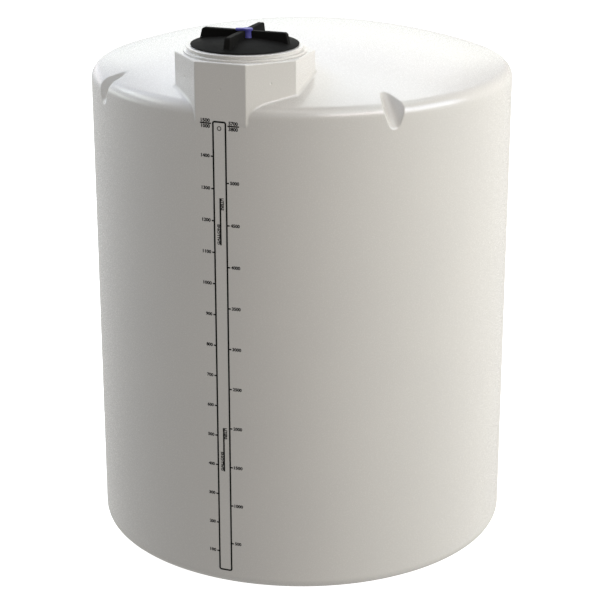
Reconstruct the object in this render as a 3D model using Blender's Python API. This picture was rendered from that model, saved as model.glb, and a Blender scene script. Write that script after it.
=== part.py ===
"""Upright plastic storage tank with a domed roof, an octagonal manway collar and a screwed lid.

Units are metres, +Z is up, the tank stands on z = 0 with its axis on the Z axis, and the
manway and the gauge strip face -Y. Every named piece is one closed solid.
"""

import math

import bmesh
import bpy
from mathutils import Matrix, Vector

# Gap left between neighbouring pieces, so that they touch without overlapping
GAP = 0.0003

# Distance under which the ends of a full turn are merged
MERGE = 0.00002

# Tank body
TANK_RADIUS = 0.940
WALL = 0.009
TURN_STEPS = 96
WALL_SEGMENTS = 12
FLOOR_RADIUS = 0.870
KNUCKLE_RADIUS = 0.050
KNUCKLE_TOP = 0.070
KNUCKLE_STEPS = 5

# Roof: a small round at the shoulder, then a shallow spherical dome
SEAM_Z = 2.020
SHOULDER_Z = 2.103
SHOULDER_RADIUS = 0.060
SHOULDER_STEPS = 6
DOME_SLOPE = math.radians(18.9)
DOME_STEPS = 6
INNER_DROP = 0.060

# Tie-down troughs across the shoulder, one near each diagonal, widening towards the foot
TROUGH_ANGLE = math.radians(45.65)
TROUGH_TOP = (0.825, 2.184)
TROUGH_FOOT = (0.9395, 2.053)
TROUGH_ROUND = (0.005, 0.042)
TROUGH_HALF_ANGLE = math.radians(37.5)
TROUGH_REACH = (0.018, 0.080)
TROUGH_HEIGHT = 0.080
TROUGH_STEPS = 6

# Octagonal manway collar at the front edge of the roof
MANWAY_Y = -0.669
COLLAR_APOTHEM = 0.270
COLLAR_TOP = 2.331
COLLAR_FULL_Z = 2.095
COLLAR_FOOT_Z = 2.040
COLLAR_FOOT_INSET = 0.013
COLLAR_FLANGE = 0.015
COLLAR_SIDES = 8

# Neck ring that the lid screws into
NECK_BORE = 0.212
NECK_OUTER = 0.245
NECK_TOP = 2.3565
NECK_BEVEL = 0.003
NECK_FOOT_RADIUS = 0.256
NECK_FOOT_HEIGHT = 0.009
ROUND_STEPS = 64

# Lid: seal, plate, threaded skirt, grip vanes and vent
SEAL_INNER = 0.2125
SEAL_OUTER = 0.2240
SEAL_THICKNESS = 0.0032
PLATE_RADIUS = 0.2262
PLATE_BEVEL = 0.0024
PLATE_RIM = 0.0062
PLATE_SHOULDER = (0.212, 0.0125)
PLATE_CROWN = (0.046, 0.0297)
SKIRT_OUTER = 0.2055
SKIRT_WALL = 0.008
SKIRT_DEPTH = 0.046
VANE_COUNT = 4
VANE_THICKNESS = 0.028
VANE_TOP = 0.0572
VANE_INNER = 0.048
VANE_OUTER_FOOT = 0.199
VANE_OUTER_TOP = 0.189
VANE_BEVEL = 0.004
VENT_PLACE = (0.0166, -0.0085)
STEM_FOOT_RADIUS = 0.0175
STEM_TOP_RADIUS = 0.0155
STEM_HEIGHT = 0.0268
CAP_RADIUS = 0.021
CAP_THICKNESS = 0.010
CAP_ARM_LENGTH = 0.050
CAP_ARM_WIDTH = 0.020
CAP_ARM_ANGLE = math.radians(200.0)
CAP_STEPS = 32

# Colour, roughness and metallic value of each material
MATERIALS = {
    "natural_polyethylene": ((0.80, 0.80, 0.78, 1.0), 0.42, 0.0),
    "black_polypropylene": ((0.020, 0.020, 0.021, 1.0), 0.48, 0.0),
    "black_rubber": ((0.012, 0.012, 0.012, 1.0), 0.70, 0.0),
    "violet_polypropylene": ((0.060, 0.050, 0.210, 1.0), 0.40, 0.0),
}


def clear_scene():
    """Remove every object of the open scene."""
    for obj in list(bpy.data.objects):
        bpy.data.objects.remove(obj, do_unlink=True)


def material(name):
    """Return the named Principled material, made on first use."""
    found = bpy.data.materials.get(name)
    if found:
        return found
    colour, roughness, metallic = MATERIALS[name]
    made = bpy.data.materials.new(name)
    made.use_nodes = True
    made.diffuse_color = colour
    shader = made.node_tree.nodes["Principled BSDF"]
    shader.inputs["Base Color"].default_value = colour
    shader.inputs["Roughness"].default_value = roughness
    shader.inputs["Metallic"].default_value = metallic
    return made


def add_object(name, bm, material_name=None, parent=None, location=(0.0, 0.0, 0.0)):
    """Close a bmesh into a new object with outward faces."""
    bmesh.ops.recalc_face_normals(bm, faces=bm.faces)
    mesh = bpy.data.meshes.new(name)
    bm.to_mesh(mesh)
    bm.free()
    obj = bpy.data.objects.new(name, mesh)
    obj.location = location
    if parent:
        obj.parent = parent
    if material_name:
        mesh.materials.append(material(material_name))
    bpy.context.collection.objects.link(obj)
    return obj


def polar(radius, angle, z=0.0, centre=(0.0, 0.0)):
    """A point at a radius and an angle from +X about an upright axis."""
    return Vector((centre[0] + radius * math.cos(angle), centre[1] + radius * math.sin(angle), z))


def turned(profile, steps, start=0.0, sweep=2.0 * math.pi, closed=True):
    """Spin an (r, z) outline about the Z axis and close the ends of a part turn."""
    bm = bmesh.new()
    verts = [bm.verts.new(polar(r, start, z)) for r, z in profile]
    pairs = list(zip(verts, verts[1:]))
    if closed:
        pairs.append((verts[-1], verts[0]))
    edges = [bm.edges.new(pair) for pair in pairs]
    bmesh.ops.spin(
        bm,
        geom=verts + edges,
        cent=(0.0, 0.0, 0.0),
        axis=(0.0, 0.0, 1.0),
        angle=sweep,
        steps=steps,
        use_duplicate=False,
    )
    bmesh.ops.remove_doubles(bm, verts=bm.verts, dist=MERGE)
    rim = [edge for edge in bm.edges if edge.is_boundary]
    if rim:
        bmesh.ops.holes_fill(bm, edges=rim, sides=0)
    return bm


def prism(outline, low, high):
    """Extrude a flat outline upwards."""
    bm = bmesh.new()
    face = bm.faces.new([bm.verts.new((x, y, low)) for x, y in outline])
    grown = bmesh.ops.extrude_face_region(bm, geom=[face])
    lifted = [item for item in grown["geom"] if isinstance(item, bmesh.types.BMVert)]
    bmesh.ops.translate(bm, verts=lifted, vec=(0.0, 0.0, high - low))
    return bm


def joined_bodies(name, bodies):
    """Put several separate closed bodies into one guide object."""
    bm = bmesh.new()
    for body in bodies:
        mesh = bpy.data.meshes.new(name)
        body.to_mesh(mesh)
        body.free()
        bm.from_mesh(mesh)
        bpy.data.meshes.remove(mesh)
    return guide(add_object(name, bm))


def guide(obj):
    """Mark an object as a construction guide that is never rendered."""
    obj.hide_render = True
    obj.display_type = "WIRE"
    return obj


def with_boolean(obj, other, operation):
    """Add an exact Boolean modifier."""
    modifier = obj.modifiers.new(operation.lower(), "BOOLEAN")
    modifier.operation = operation
    modifier.solver = "EXACT"
    modifier.object = other
    return obj


def baked(obj):
    """Replace an object's mesh by its evaluated mesh and drop its modifiers."""
    bpy.context.view_layer.update()
    graph = bpy.context.evaluated_depsgraph_get()
    mesh = bpy.data.meshes.new_from_object(obj.evaluated_get(graph))
    obj.modifiers.clear()
    obj.data = mesh
    return obj


def with_bevel(obj, width, segments=2):
    """Round the sharp edges of an object."""
    modifier = obj.modifiers.new("edge_round", "BEVEL")
    modifier.width = width
    modifier.segments = segments
    modifier.limit_method = "ANGLE"
    modifier.angle_limit = math.radians(50.0)
    return obj


def roof_outline(offset, low):
    """Half outline of the roof from its lower edge on the axis to its top on the axis."""
    radius = TANK_RADIUS - offset
    shoulder_centre = TANK_RADIUS - SHOULDER_RADIUS
    shoulder = SHOULDER_RADIUS - offset
    points = [(0.0, low), (radius, low)]
    for step in range(SHOULDER_STEPS + 1):
        angle = (math.pi / 2.0 - DOME_SLOPE) * step / SHOULDER_STEPS
        points.append((shoulder_centre + shoulder * math.cos(angle), SHOULDER_Z + shoulder * math.sin(angle)))
    tangent_r = shoulder_centre + SHOULDER_RADIUS * math.sin(DOME_SLOPE)
    tangent_z = SHOULDER_Z + SHOULDER_RADIUS * math.cos(DOME_SLOPE)
    sphere = tangent_r / math.sin(DOME_SLOPE)
    sphere_z = tangent_z - sphere * math.cos(DOME_SLOPE)
    for step in range(DOME_STEPS - 1, -1, -1):
        angle = DOME_SLOPE * step / DOME_STEPS
        points.append(((sphere - offset) * math.sin(angle), sphere_z + (sphere - offset) * math.cos(angle)))
    return points


def octagon(apothem, centre_y=MANWAY_Y):
    """Corners of the collar's octagon, with a flat side towards -Y."""
    corner = apothem / math.cos(math.pi / COLLAR_SIDES)
    corners = []
    for side in range(COLLAR_SIDES):
        angle = -math.pi / 2.0 + (side - 0.5) * 2.0 * math.pi / COLLAR_SIDES
        point = polar(corner, angle, centre=(0.0, centre_y))
        corners.append((point.x, point.y))
    return corners


def collar_solid(offset, low, high):
    """Octagonal column whose foot draws in, so that it dies into the tank wall."""
    bm = bmesh.new()
    levels = [
        (low, COLLAR_APOTHEM - offset - COLLAR_FOOT_INSET),
        (COLLAR_FOOT_Z, COLLAR_APOTHEM - offset - COLLAR_FOOT_INSET),
        (COLLAR_FULL_Z, COLLAR_APOTHEM - offset),
        (high, COLLAR_APOTHEM - offset),
    ]
    rings = []
    for z, apothem in levels:
        ring = [bm.verts.new((x, y, z)) for x, y in octagon(apothem)]
        rings.append([bm.edges.new((ring[i], ring[(i + 1) % COLLAR_SIDES])) for i in range(COLLAR_SIDES)])
    for below, above in zip(rings, rings[1:]):
        bmesh.ops.bridge_loops(bm, edges=below + above)
    bmesh.ops.holes_fill(bm, edges=rings[0] + rings[-1], sides=0)
    return bm


def trough_section(radius, bottom):
    """Outline across a trough's cutter: a wedge whose lower edge is an arc."""
    half = TROUGH_HALF_ANGLE
    wide = radius / math.cos(half) + (TROUGH_HEIGHT - bottom) * math.tan(half)
    section = [(wide, TROUGH_HEIGHT), (-wide, TROUGH_HEIGHT)]
    for step in range(TROUGH_STEPS + 1):
        turn = -math.pi + half + (math.pi - 2.0 * half) * step / TROUGH_STEPS
        section.append((radius * math.cos(turn), bottom + radius * math.sin(turn)))
    return section


def trough_cutter(angle, offset):
    """Tapered wedge laid down the slope of the shoulder, whose lower side cuts a trough."""
    top = Vector(TROUGH_TOP)
    foot = Vector(TROUGH_FOOT)
    along = (foot - top).normalized()
    normal = Vector((-along.y, along.x))
    length = (foot - top).length
    out = polar(1.0, angle)
    side = polar(1.0, angle + math.pi / 2.0)
    bm = bmesh.new()
    rings = []
    for reach in (-TROUGH_REACH[0], length + TROUGH_REACH[1]):
        bottom = TROUGH_ROUND[0] + (TROUGH_ROUND[1] - TROUGH_ROUND[0]) * reach / length
        ring = []
        for across, rise in trough_section(bottom + offset, bottom):
            point = top + along * reach + normal * rise
            ring.append(bm.verts.new(out * point.x + side * across + Vector((0.0, 0.0, point.y))))
        rings.append([bm.edges.new((ring[i - 1], ring[i])) for i in range(len(ring))])
    bmesh.ops.bridge_loops(bm, edges=rings[0] + rings[1])
    bmesh.ops.holes_fill(bm, edges=rings[0] + rings[1], sides=0)
    return bm


def trough_angles():
    """Angles of the four tie-down troughs, from +X."""
    return [TROUGH_ANGLE, math.pi - TROUGH_ANGLE, math.pi + TROUGH_ANGLE, -TROUGH_ANGLE]


def roof_shell():
    """Hollow roof, shoulder and collar in one body, from which the pieces are cut."""
    solids = {}
    for name, offset, low in (("outer", 0.0, SEAM_Z), ("inner", WALL, SEAM_Z - INNER_DROP)):
        body = add_object("roof_" + name, turned(roof_outline(offset, low), TURN_STEPS, closed=False))
        collar_low = low + INNER_DROP / 6.0
        column = guide(add_object("column_" + name, collar_solid(offset, collar_low, COLLAR_TOP - offset)))
        bars = joined_bodies("troughs_" + name, [trough_cutter(a, offset) for a in trough_angles()])
        with_boolean(body, column, "UNION")
        with_boolean(body, bars, "DIFFERENCE")
        solids[name] = baked(body)
        bpy.data.objects.remove(column)
        bpy.data.objects.remove(bars)
    bore = turned([(0.0, COLLAR_TOP - 0.05), (NECK_BORE, COLLAR_TOP - 0.05), (NECK_BORE, COLLAR_TOP + 0.05),
                   (0.0, COLLAR_TOP + 0.05)], ROUND_STEPS, closed=False)
    bmesh.ops.translate(bore, verts=bore.verts, vec=(0.0, MANWAY_Y, 0.0))
    bore_guide = guide(add_object("neck_bore", bore))
    shell = solids["outer"]
    with_boolean(shell, solids["inner"], "DIFFERENCE")
    with_boolean(shell, bore_guide, "DIFFERENCE")
    baked(shell)
    bpy.data.objects.remove(solids["inner"])
    bpy.data.objects.remove(bore_guide)
    shell.name = "roof_shell_guide"
    return guide(shell)


def half_plane_cut(bm, point, normal):
    """Keep the part of a closed body on the side that the normal points away from."""
    cut = bmesh.ops.bisect_plane(
        bm,
        geom=bm.verts[:] + bm.edges[:] + bm.faces[:],
        plane_co=point,
        plane_no=normal,
        clear_outer=True,
    )
    edges = [item for item in cut["geom_cut"] if isinstance(item, bmesh.types.BMEdge)]
    if edges:
        bmesh.ops.holes_fill(bm, edges=edges, sides=0)


def zone(planes, low, high, reach=1.3):
    """Convex block cut from a large box by upright planes, each given as (x, y, outward angle)."""
    bm = prism([(-reach, -reach), (reach, -reach), (reach, reach), (-reach, reach)], low, high)
    for x, y, angle in planes:
        outward = polar(1.0, angle)
        point = Vector((x, y, 0.0)) - outward * (GAP / 2.0)
        half_plane_cut(bm, point, outward)
    return bm


def side_angle(side):
    """Direction from the manway's centre to the middle of a collar side; side 0 faces -Y."""
    return -math.pi / 2.0 + side * 2.0 * math.pi / COLLAR_SIDES


def octant_planes(side):
    """The two upright planes through the manway's centre that bound one collar side."""
    half = math.pi / COLLAR_SIDES
    angle = side_angle(side)
    return [
        (0.0, MANWAY_Y, angle + half + math.pi / 2.0),
        (0.0, MANWAY_Y, angle - half - math.pi / 2.0),
    ]


def flange_plane(side, outward=True):
    """The upright plane where a collar panel's foot ends and the roof begins."""
    angle = side_angle(side)
    point = polar(COLLAR_APOTHEM + COLLAR_FLANGE, angle, centre=(0.0, MANWAY_Y))
    return (point.x, point.y, angle if outward else angle + math.pi)


def cut_piece(name, shell, planes):
    """One piece of the roof shell inside a convex zone."""
    cutter = guide(add_object(name + "_zone", zone(planes, SEAM_Z - 0.2, COLLAR_TOP + 0.2)))
    piece = add_object(name, bmesh.new(), "natural_polyethylene")
    piece.data = shell.data.copy()
    piece.data.materials.clear()
    piece.data.materials.append(material("natural_polyethylene"))
    with_boolean(piece, cutter, "INTERSECT")
    baked(piece)
    bpy.data.objects.remove(cutter)
    return piece


def make_collar(shell):
    """Eight collar panels, each a side wall with its share of the top deck."""
    names = ["front", "front_right", "right", "back_right", "back", "back_left", "left", "front_left"]
    for side, word in enumerate(names):
        cut_piece("collar_" + word, shell, octant_planes(side) + [flange_plane(side)])


def make_roof(shell):
    """Roof sectors: three on each side of the collar and four behind it."""
    behind_y = MANWAY_Y + COLLAR_APOTHEM + COLLAR_FLANGE
    before = (0.0, behind_y, math.pi / 2.0)
    behind = (0.0, behind_y, -math.pi / 2.0)
    sides = {1: "front_right", 2: "right", 3: "back_right", 5: "back_left", 6: "left", 7: "front_left"}
    for side, word in sides.items():
        cut_piece("roof_" + word, shell, octant_planes(side) + [flange_plane(side, False), before])
    rear = 4
    for index in range(rear):
        start = index * math.pi / rear
        end = start + math.pi / rear
        planes = [behind]
        if index > 0:
            planes.append((0.0, behind_y, start - math.pi / 2.0))
        if index < rear - 1:
            planes.append((0.0, behind_y, end + math.pi / 2.0))
        cut_piece("roof_rear_%d" % (index + 1), shell, planes)


def make_floor():
    """Flat floor disc that the tank rests on."""
    outline = [(0.0, 0.0), (FLOOR_RADIUS, 0.0), (FLOOR_RADIUS, WALL), (0.0, WALL)]
    add_object("floor", turned(outline, TURN_STEPS, closed=False), "natural_polyethylene")


def make_knuckle():
    """Rounded ring that turns the floor up into the wall."""
    centre = TANK_RADIUS - KNUCKLE_RADIUS
    inner_corner = KNUCKLE_RADIUS - WALL
    outer = []
    inner = []
    for step in range(KNUCKLE_STEPS + 1):
        angle = -math.pi / 2.0 + math.pi / 2.0 * step / KNUCKLE_STEPS
        cos, sin = math.cos(angle), math.sin(angle)
        outer.append((centre + KNUCKLE_RADIUS * cos, KNUCKLE_RADIUS + KNUCKLE_RADIUS * sin))
        inner.append((centre + inner_corner * cos, KNUCKLE_RADIUS + inner_corner * sin))
    edge = FLOOR_RADIUS + GAP
    outline = [(edge, 0.0)] + outer + [(TANK_RADIUS, KNUCKLE_TOP)]
    outline += [(TANK_RADIUS - WALL, KNUCKLE_TOP)] + inner[::-1] + [(edge, WALL)]
    add_object("base_knuckle", turned(outline, TURN_STEPS), "natural_polyethylene")


def make_walls():
    """Round wall in equal segments, with joins on the diagonals."""
    sweep = 2.0 * math.pi / WALL_SEGMENTS
    gap_angle = GAP / TANK_RADIUS
    low = KNUCKLE_TOP + GAP
    high = SEAM_Z - GAP
    outline = [(TANK_RADIUS - WALL, low), (TANK_RADIUS, low), (TANK_RADIUS, high), (TANK_RADIUS - WALL, high)]
    for index in range(WALL_SEGMENTS):
        start = -math.pi / 4.0 + (index - 1) * sweep + gap_angle / 2.0
        body = turned(outline, TURN_STEPS // WALL_SEGMENTS, start, sweep - gap_angle)
        add_object("wall_%02d" % (index + 1), body, "natural_polyethylene")


def make_neck():
    """Neck ring standing on the collar's deck."""
    low = COLLAR_TOP + GAP
    chamfer = NECK_BEVEL
    outline = [
        (NECK_BORE, low),
        (NECK_FOOT_RADIUS, low),
        (NECK_FOOT_RADIUS, low + NECK_FOOT_HEIGHT),
        (NECK_OUTER, low + NECK_FOOT_HEIGHT),
        (NECK_OUTER, NECK_TOP - chamfer),
        (NECK_OUTER - chamfer, NECK_TOP),
        (NECK_BORE, NECK_TOP),
    ]
    body = turned(outline, ROUND_STEPS)
    add_object("neck_ring", body, "natural_polyethylene", location=(0.0, MANWAY_Y, 0.0))


def make_lid():
    """Seal, lid plate, skirt, four grip vanes and the vent, on the lid's axis."""
    axis = bpy.data.objects.new("lid_axis", None)
    axis.location = (0.0, MANWAY_Y, NECK_TOP)
    bpy.context.collection.objects.link(axis)

    seal_low = GAP
    seal_high = seal_low + SEAL_THICKNESS
    outline = [(SEAL_INNER, seal_low), (SEAL_OUTER, seal_low), (SEAL_OUTER, seal_high), (SEAL_INNER, seal_high)]
    add_object("lid_seal", turned(outline, ROUND_STEPS), "black_rubber", axis)

    plate_low = seal_high + GAP
    crown_radius, crown_rise = PLATE_CROWN
    shoulder_radius, shoulder_rise = PLATE_SHOULDER
    outline = [
        (0.0, plate_low),
        (PLATE_RADIUS - PLATE_BEVEL, plate_low),
        (PLATE_RADIUS, plate_low + PLATE_BEVEL),
        (PLATE_RADIUS, plate_low + PLATE_RIM),
        (shoulder_radius, plate_low + shoulder_rise),
        (crown_radius, plate_low + crown_rise),
        (0.0, plate_low + crown_rise),
    ]
    add_object("lid_plate", turned(outline, ROUND_STEPS, closed=False), "black_polypropylene", axis)

    skirt_high = plate_low - GAP
    skirt_low = skirt_high - SKIRT_DEPTH
    skirt_inner = SKIRT_OUTER - SKIRT_WALL
    outline = [
        (skirt_inner, skirt_low),
        (SKIRT_OUTER, skirt_low),
        (SKIRT_OUTER, skirt_high),
        (skirt_inner, skirt_high),
    ]
    add_object("lid_skirt", turned(outline, ROUND_STEPS), "black_polypropylene", axis)

    for index in range(VANE_COUNT):
        vane = add_object("lid_vane_%d" % (index + 1), vane_body(), "black_polypropylene", axis)
        vane.location = (0.0, 0.0, plate_low)
        vane.rotation_euler = (0.0, 0.0, index * 2.0 * math.pi / VANE_COUNT)
        with_bevel(vane, VANE_BEVEL)

    stem = bmesh.new()
    bmesh.ops.create_cone(
        stem,
        cap_ends=True,
        segments=CAP_STEPS,
        radius1=STEM_FOOT_RADIUS,
        radius2=STEM_TOP_RADIUS,
        depth=STEM_HEIGHT,
    )
    foot_z = plate_low + crown_rise + GAP
    stem_place = (*VENT_PLACE, foot_z + STEM_HEIGHT / 2.0)
    add_object("vent_stem", stem, "violet_polypropylene", axis, stem_place)
    cap_place = (*VENT_PLACE, foot_z + STEM_HEIGHT + GAP)
    add_object("vent_cap", vent_cap_body(), "violet_polypropylene", axis, cap_place)


def plate_rise(radius):
    """Height of the conical lid plate over its underside."""
    crown_radius, crown_rise = PLATE_CROWN
    shoulder_radius, shoulder_rise = PLATE_SHOULDER
    share = (radius - crown_radius) / (shoulder_radius - crown_radius)
    return crown_rise + share * (shoulder_rise - crown_rise)


def vane_body():
    """Upright grip vane on the conical plate, with a sloped outer end, lying along +X."""
    bm = bmesh.new()
    half = VANE_THICKNESS / 2.0
    corners = [
        (VANE_INNER, plate_rise(VANE_INNER) + GAP),
        (VANE_OUTER_FOOT, plate_rise(VANE_OUTER_FOOT) + GAP),
        (VANE_OUTER_TOP, VANE_TOP),
        (VANE_INNER, VANE_TOP),
    ]
    face = bm.faces.new([bm.verts.new((x, -half, z)) for x, z in corners])
    grown = bmesh.ops.extrude_face_region(bm, geom=[face])
    moved = [item for item in grown["geom"] if isinstance(item, bmesh.types.BMVert)]
    bmesh.ops.translate(bm, verts=moved, vec=(0.0, VANE_THICKNESS, 0.0))
    return bm


def vent_cap_body():
    """Round cap with one flat arm, in a single outline."""
    half = CAP_ARM_WIDTH / 2.0
    open_angle = math.asin(half / CAP_RADIUS)
    outline = []
    for step in range(CAP_STEPS + 1):
        angle = open_angle + (2.0 * math.pi - 2.0 * open_angle) * step / CAP_STEPS
        outline.append(polar(CAP_RADIUS, angle))
    outline += [Vector((CAP_ARM_LENGTH, -half, 0.0)), Vector((CAP_ARM_LENGTH, half, 0.0))]
    turn = Matrix.Rotation(CAP_ARM_ANGLE, 3, "Z")
    placed = [turn @ point for point in outline]
    return prism([(point.x, point.y) for point in placed], 0.0, CAP_THICKNESS)


def main():
    """Build every piece of the tank."""
    clear_scene()
    make_floor()
    make_knuckle()
    make_walls()
    shell = roof_shell()
    make_roof(shell)
    make_collar(shell)
    bpy.data.objects.remove(shell)
    make_neck()
    make_lid()


main()
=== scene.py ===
"""Looks of the upright plastic storage tank: shell, lid, vent and printed capacity scale.

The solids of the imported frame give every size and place. Each operator below makes one piece or
group of like pieces over them, and the stage operator adds the floor, the lights and the camera.
"""

import math
from collections import namedtuple

import bmesh
import bpy
import numpy as np
from bpy.props import FloatProperty, FloatVectorProperty, PointerProperty
from mathutils import Matrix, Vector


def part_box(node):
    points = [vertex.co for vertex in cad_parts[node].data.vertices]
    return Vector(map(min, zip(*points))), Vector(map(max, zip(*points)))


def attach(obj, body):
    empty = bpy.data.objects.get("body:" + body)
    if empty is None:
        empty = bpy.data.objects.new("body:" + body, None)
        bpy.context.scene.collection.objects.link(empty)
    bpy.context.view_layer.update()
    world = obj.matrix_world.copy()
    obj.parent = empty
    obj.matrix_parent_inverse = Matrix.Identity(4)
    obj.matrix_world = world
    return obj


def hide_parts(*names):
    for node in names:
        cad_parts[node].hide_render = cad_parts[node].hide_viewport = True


bl_info = {
    "name": "Plastic Storage Tank",
    "version": (1, 0, 0),
    "blender": (4, 5, 0),
    "location": "View3D > Sidebar > Tank",
    "description": "Models the shell, lid, vent and printed scale of an upright plastic tank",
    "category": "Add Mesh",
}

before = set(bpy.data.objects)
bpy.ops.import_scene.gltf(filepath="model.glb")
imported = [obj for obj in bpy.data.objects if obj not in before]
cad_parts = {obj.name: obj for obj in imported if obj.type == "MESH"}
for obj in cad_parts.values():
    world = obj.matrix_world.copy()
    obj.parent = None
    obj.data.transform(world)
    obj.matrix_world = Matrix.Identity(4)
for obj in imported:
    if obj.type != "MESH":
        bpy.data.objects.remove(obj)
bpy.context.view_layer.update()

# Sizes read from the frame, in metres
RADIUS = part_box("base_knuckle")[1][0]
FLOOR_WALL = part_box("floor")[1][2]
COLLAR_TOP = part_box("collar_back")[1][2]
NECK_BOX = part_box("neck_ring")
MANWAY_Y = (NECK_BOX[0][1] + NECK_BOX[1][1]) / 2.0
NECK_FOOT = (NECK_BOX[1][0] - NECK_BOX[0][0]) / 2.0
NECK_LOW = NECK_BOX[0][2]
NECK_TOP = NECK_BOX[1][2]
SEAL_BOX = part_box("lid_seal")
PLATE_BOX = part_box("lid_plate")
PLATE_RADIUS = (PLATE_BOX[1][0] - PLATE_BOX[0][0]) / 2.0
PLATE_LOW = PLATE_BOX[0][2]
CROWN_RISE = PLATE_BOX[1][2] - PLATE_LOW
SKIRT_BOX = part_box("lid_skirt")
VANE_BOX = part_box("lid_vane_1")
VANE_RISE = VANE_BOX[1][2] - PLATE_LOW
VANE_END = VANE_BOX[1][0]
STEM_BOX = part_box("vent_stem")
CAP_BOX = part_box("vent_cap")

# Radii of the neck that no box gives
NECK_OUTER = 0.245
NECK_BORE = 0.2122

# Room that the shell leaves for the print inside the solids' box
SHELL_SET_BACK = 0.0005

# The camera of the photograph: distance and height over the tank's radius, and its angles
CAMERA_DISTANCE = 8.8774
CAMERA_HEIGHT = 4.1451
CAMERA_AZIMUTH = math.radians(20.64)
CAMERA_TURN = math.radians(0.068)
CAMERA_PITCH = math.radians(19.0)
CAMERA_ROLL = math.radians(-0.0585)
CAMERA_LENS = 113.237
CAMERA_SENSOR = 36.0


class TankSettings(bpy.types.PropertyGroup):
    """Sizes and colours of the tank that a user may change."""

    shoulder_radius: FloatProperty(
        name="Shoulder Radius",
        description="Radius of the round between the wall and the dome",
        default=0.060,
        unit="LENGTH",
    )
    shoulder_height: FloatProperty(
        name="Shoulder Height",
        description="Height at which the wall begins to turn into the dome",
        default=2.103,
        unit="LENGTH",
    )
    dome_slope: FloatProperty(
        name="Dome Slope",
        description="Slope of the dome where it leaves the shoulder",
        default=math.radians(18.9),
        subtype="ANGLE",
    )
    knuckle_radius: FloatProperty(
        name="Knuckle Radius",
        description="Radius of the round between the floor and the wall",
        default=0.050,
        unit="LENGTH",
    )
    wall: FloatProperty(
        name="Wall Thickness",
        description="Thickness of the moulded wall",
        default=FLOOR_WALL,
        unit="LENGTH",
    )
    collar_apothem: FloatProperty(
        name="Collar Half Width",
        description="Distance from the manway's axis to each flat side of the collar",
        default=0.2695,
        unit="LENGTH",
    )
    collar_corner: FloatProperty(
        name="Collar Corner Radius",
        description="Radius of the collar's upright corners",
        default=0.009,
        unit="LENGTH",
    )
    collar_rim: FloatProperty(
        name="Collar Rim Radius",
        description="Radius of the edge between the collar's sides and its deck",
        default=0.0055,
        unit="LENGTH",
    )
    collar_fillet: FloatProperty(
        name="Collar Fillet",
        description="Radius of the fillet where the collar meets the dome",
        default=0.0135,
        unit="LENGTH",
    )
    trough_half_angle: FloatProperty(
        name="Trough Half Angle",
        description="Angle between each side of a tie-down trough and its middle plane",
        default=math.radians(32.0),
        subtype="ANGLE",
    )
    trough_lip: FloatProperty(
        name="Trough Lip Radius",
        description="Radius of the edge of each tie-down trough",
        default=0.0035,
        unit="LENGTH",
    )
    voxel: FloatProperty(
        name="Mesh Size",
        description="Size of the faces that the moulded top starts from",
        default=0.012,
        unit="LENGTH",
    )
    shell_colour: FloatVectorProperty(
        name="Shell Colour",
        description="Colour of the natural polyethylene",
        default=(0.70, 0.692, 0.672),
        subtype="COLOR",
        min=0.0,
        max=1.0,
    )
    lid_colour: FloatVectorProperty(
        name="Lid Colour",
        description="Colour of the black lid",
        default=(0.0088, 0.0088, 0.0085),
        subtype="COLOR",
        min=0.0,
        max=1.0,
    )
    vent_colour: FloatVectorProperty(
        name="Vent Colour",
        description="Colour of the violet vent",
        default=(0.062, 0.060, 0.310),
        subtype="COLOR",
        min=0.0,
        max=1.0,
    )
    ink_colour: FloatVectorProperty(
        name="Ink Colour",
        description="Colour of the printed scale",
        default=(0.003, 0.003, 0.003),
        subtype="COLOR",
        min=0.0,
        max=1.0,
    )


def settings():
    """The tank's settings in the open scene."""
    return bpy.context.scene.tank_settings


# Signed distances to the moulded forms, for arrays of points of shape (n, 3)


class TankForm(namedtuple("TankForm", "inset settings")):
    """The moulded tank, set back from its outer face by an inset."""

    def distance(self, points):
        """Signed distances of points to the form."""
        return tank_distance(self, points)


TROUGH_ANGLE = math.radians(45.65)
TROUGH_TOP = Vector((0.825, 2.184))
TROUGH_FOOT = Vector((0.9395, 2.053))
TROUGH_ROUND = (0.026, 0.034)
TROUGH_ROUND_LIMITS = (0.001, 0.060)
COLLAR_FULL_Z = 2.095
COLLAR_FOOT_Z = 2.040
COLLAR_FOOT_INSET = 0.013
COLLAR_ROOT = 0.06
SIDES = 8
SIDE_STEP = 2.0 * math.pi / SIDES

# Mould marks: the collar's sides past a radius from the tank's axis have theirs lower
DIMPLE_RADIUS = 0.0065
DIMPLE_DEPTH = 0.0018
DIMPLE_EDGE = 0.0015
DIMPLE_DROP = 0.0855
DIMPLE_DROP_FRONT = 0.109
FRONT_SIDE_RADIUS = 0.90

# Limits of the steps that lay a mesh on a form
GRADIENT_STEP = 0.0004
LEAST_SLOPE = 0.05
LONGEST_MOVE = 0.01
SAME_HEIGHT = 1e-5
TINY = 1e-9


def round_union(first, second, radius):
    """Union of two distances with a fillet of the given radius."""
    both = np.hypot(np.maximum(radius - first, 0.0), np.maximum(radius - second, 0.0))
    return np.maximum(radius, np.minimum(first, second)) - both


def round_intersection(first, second, radius):
    """Intersection of two distances with a rounded edge of the given radius."""
    both = np.hypot(np.maximum(radius + first, 0.0), np.maximum(radius + second, 0.0))
    return np.minimum(-radius, np.maximum(first, second)) + both


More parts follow.
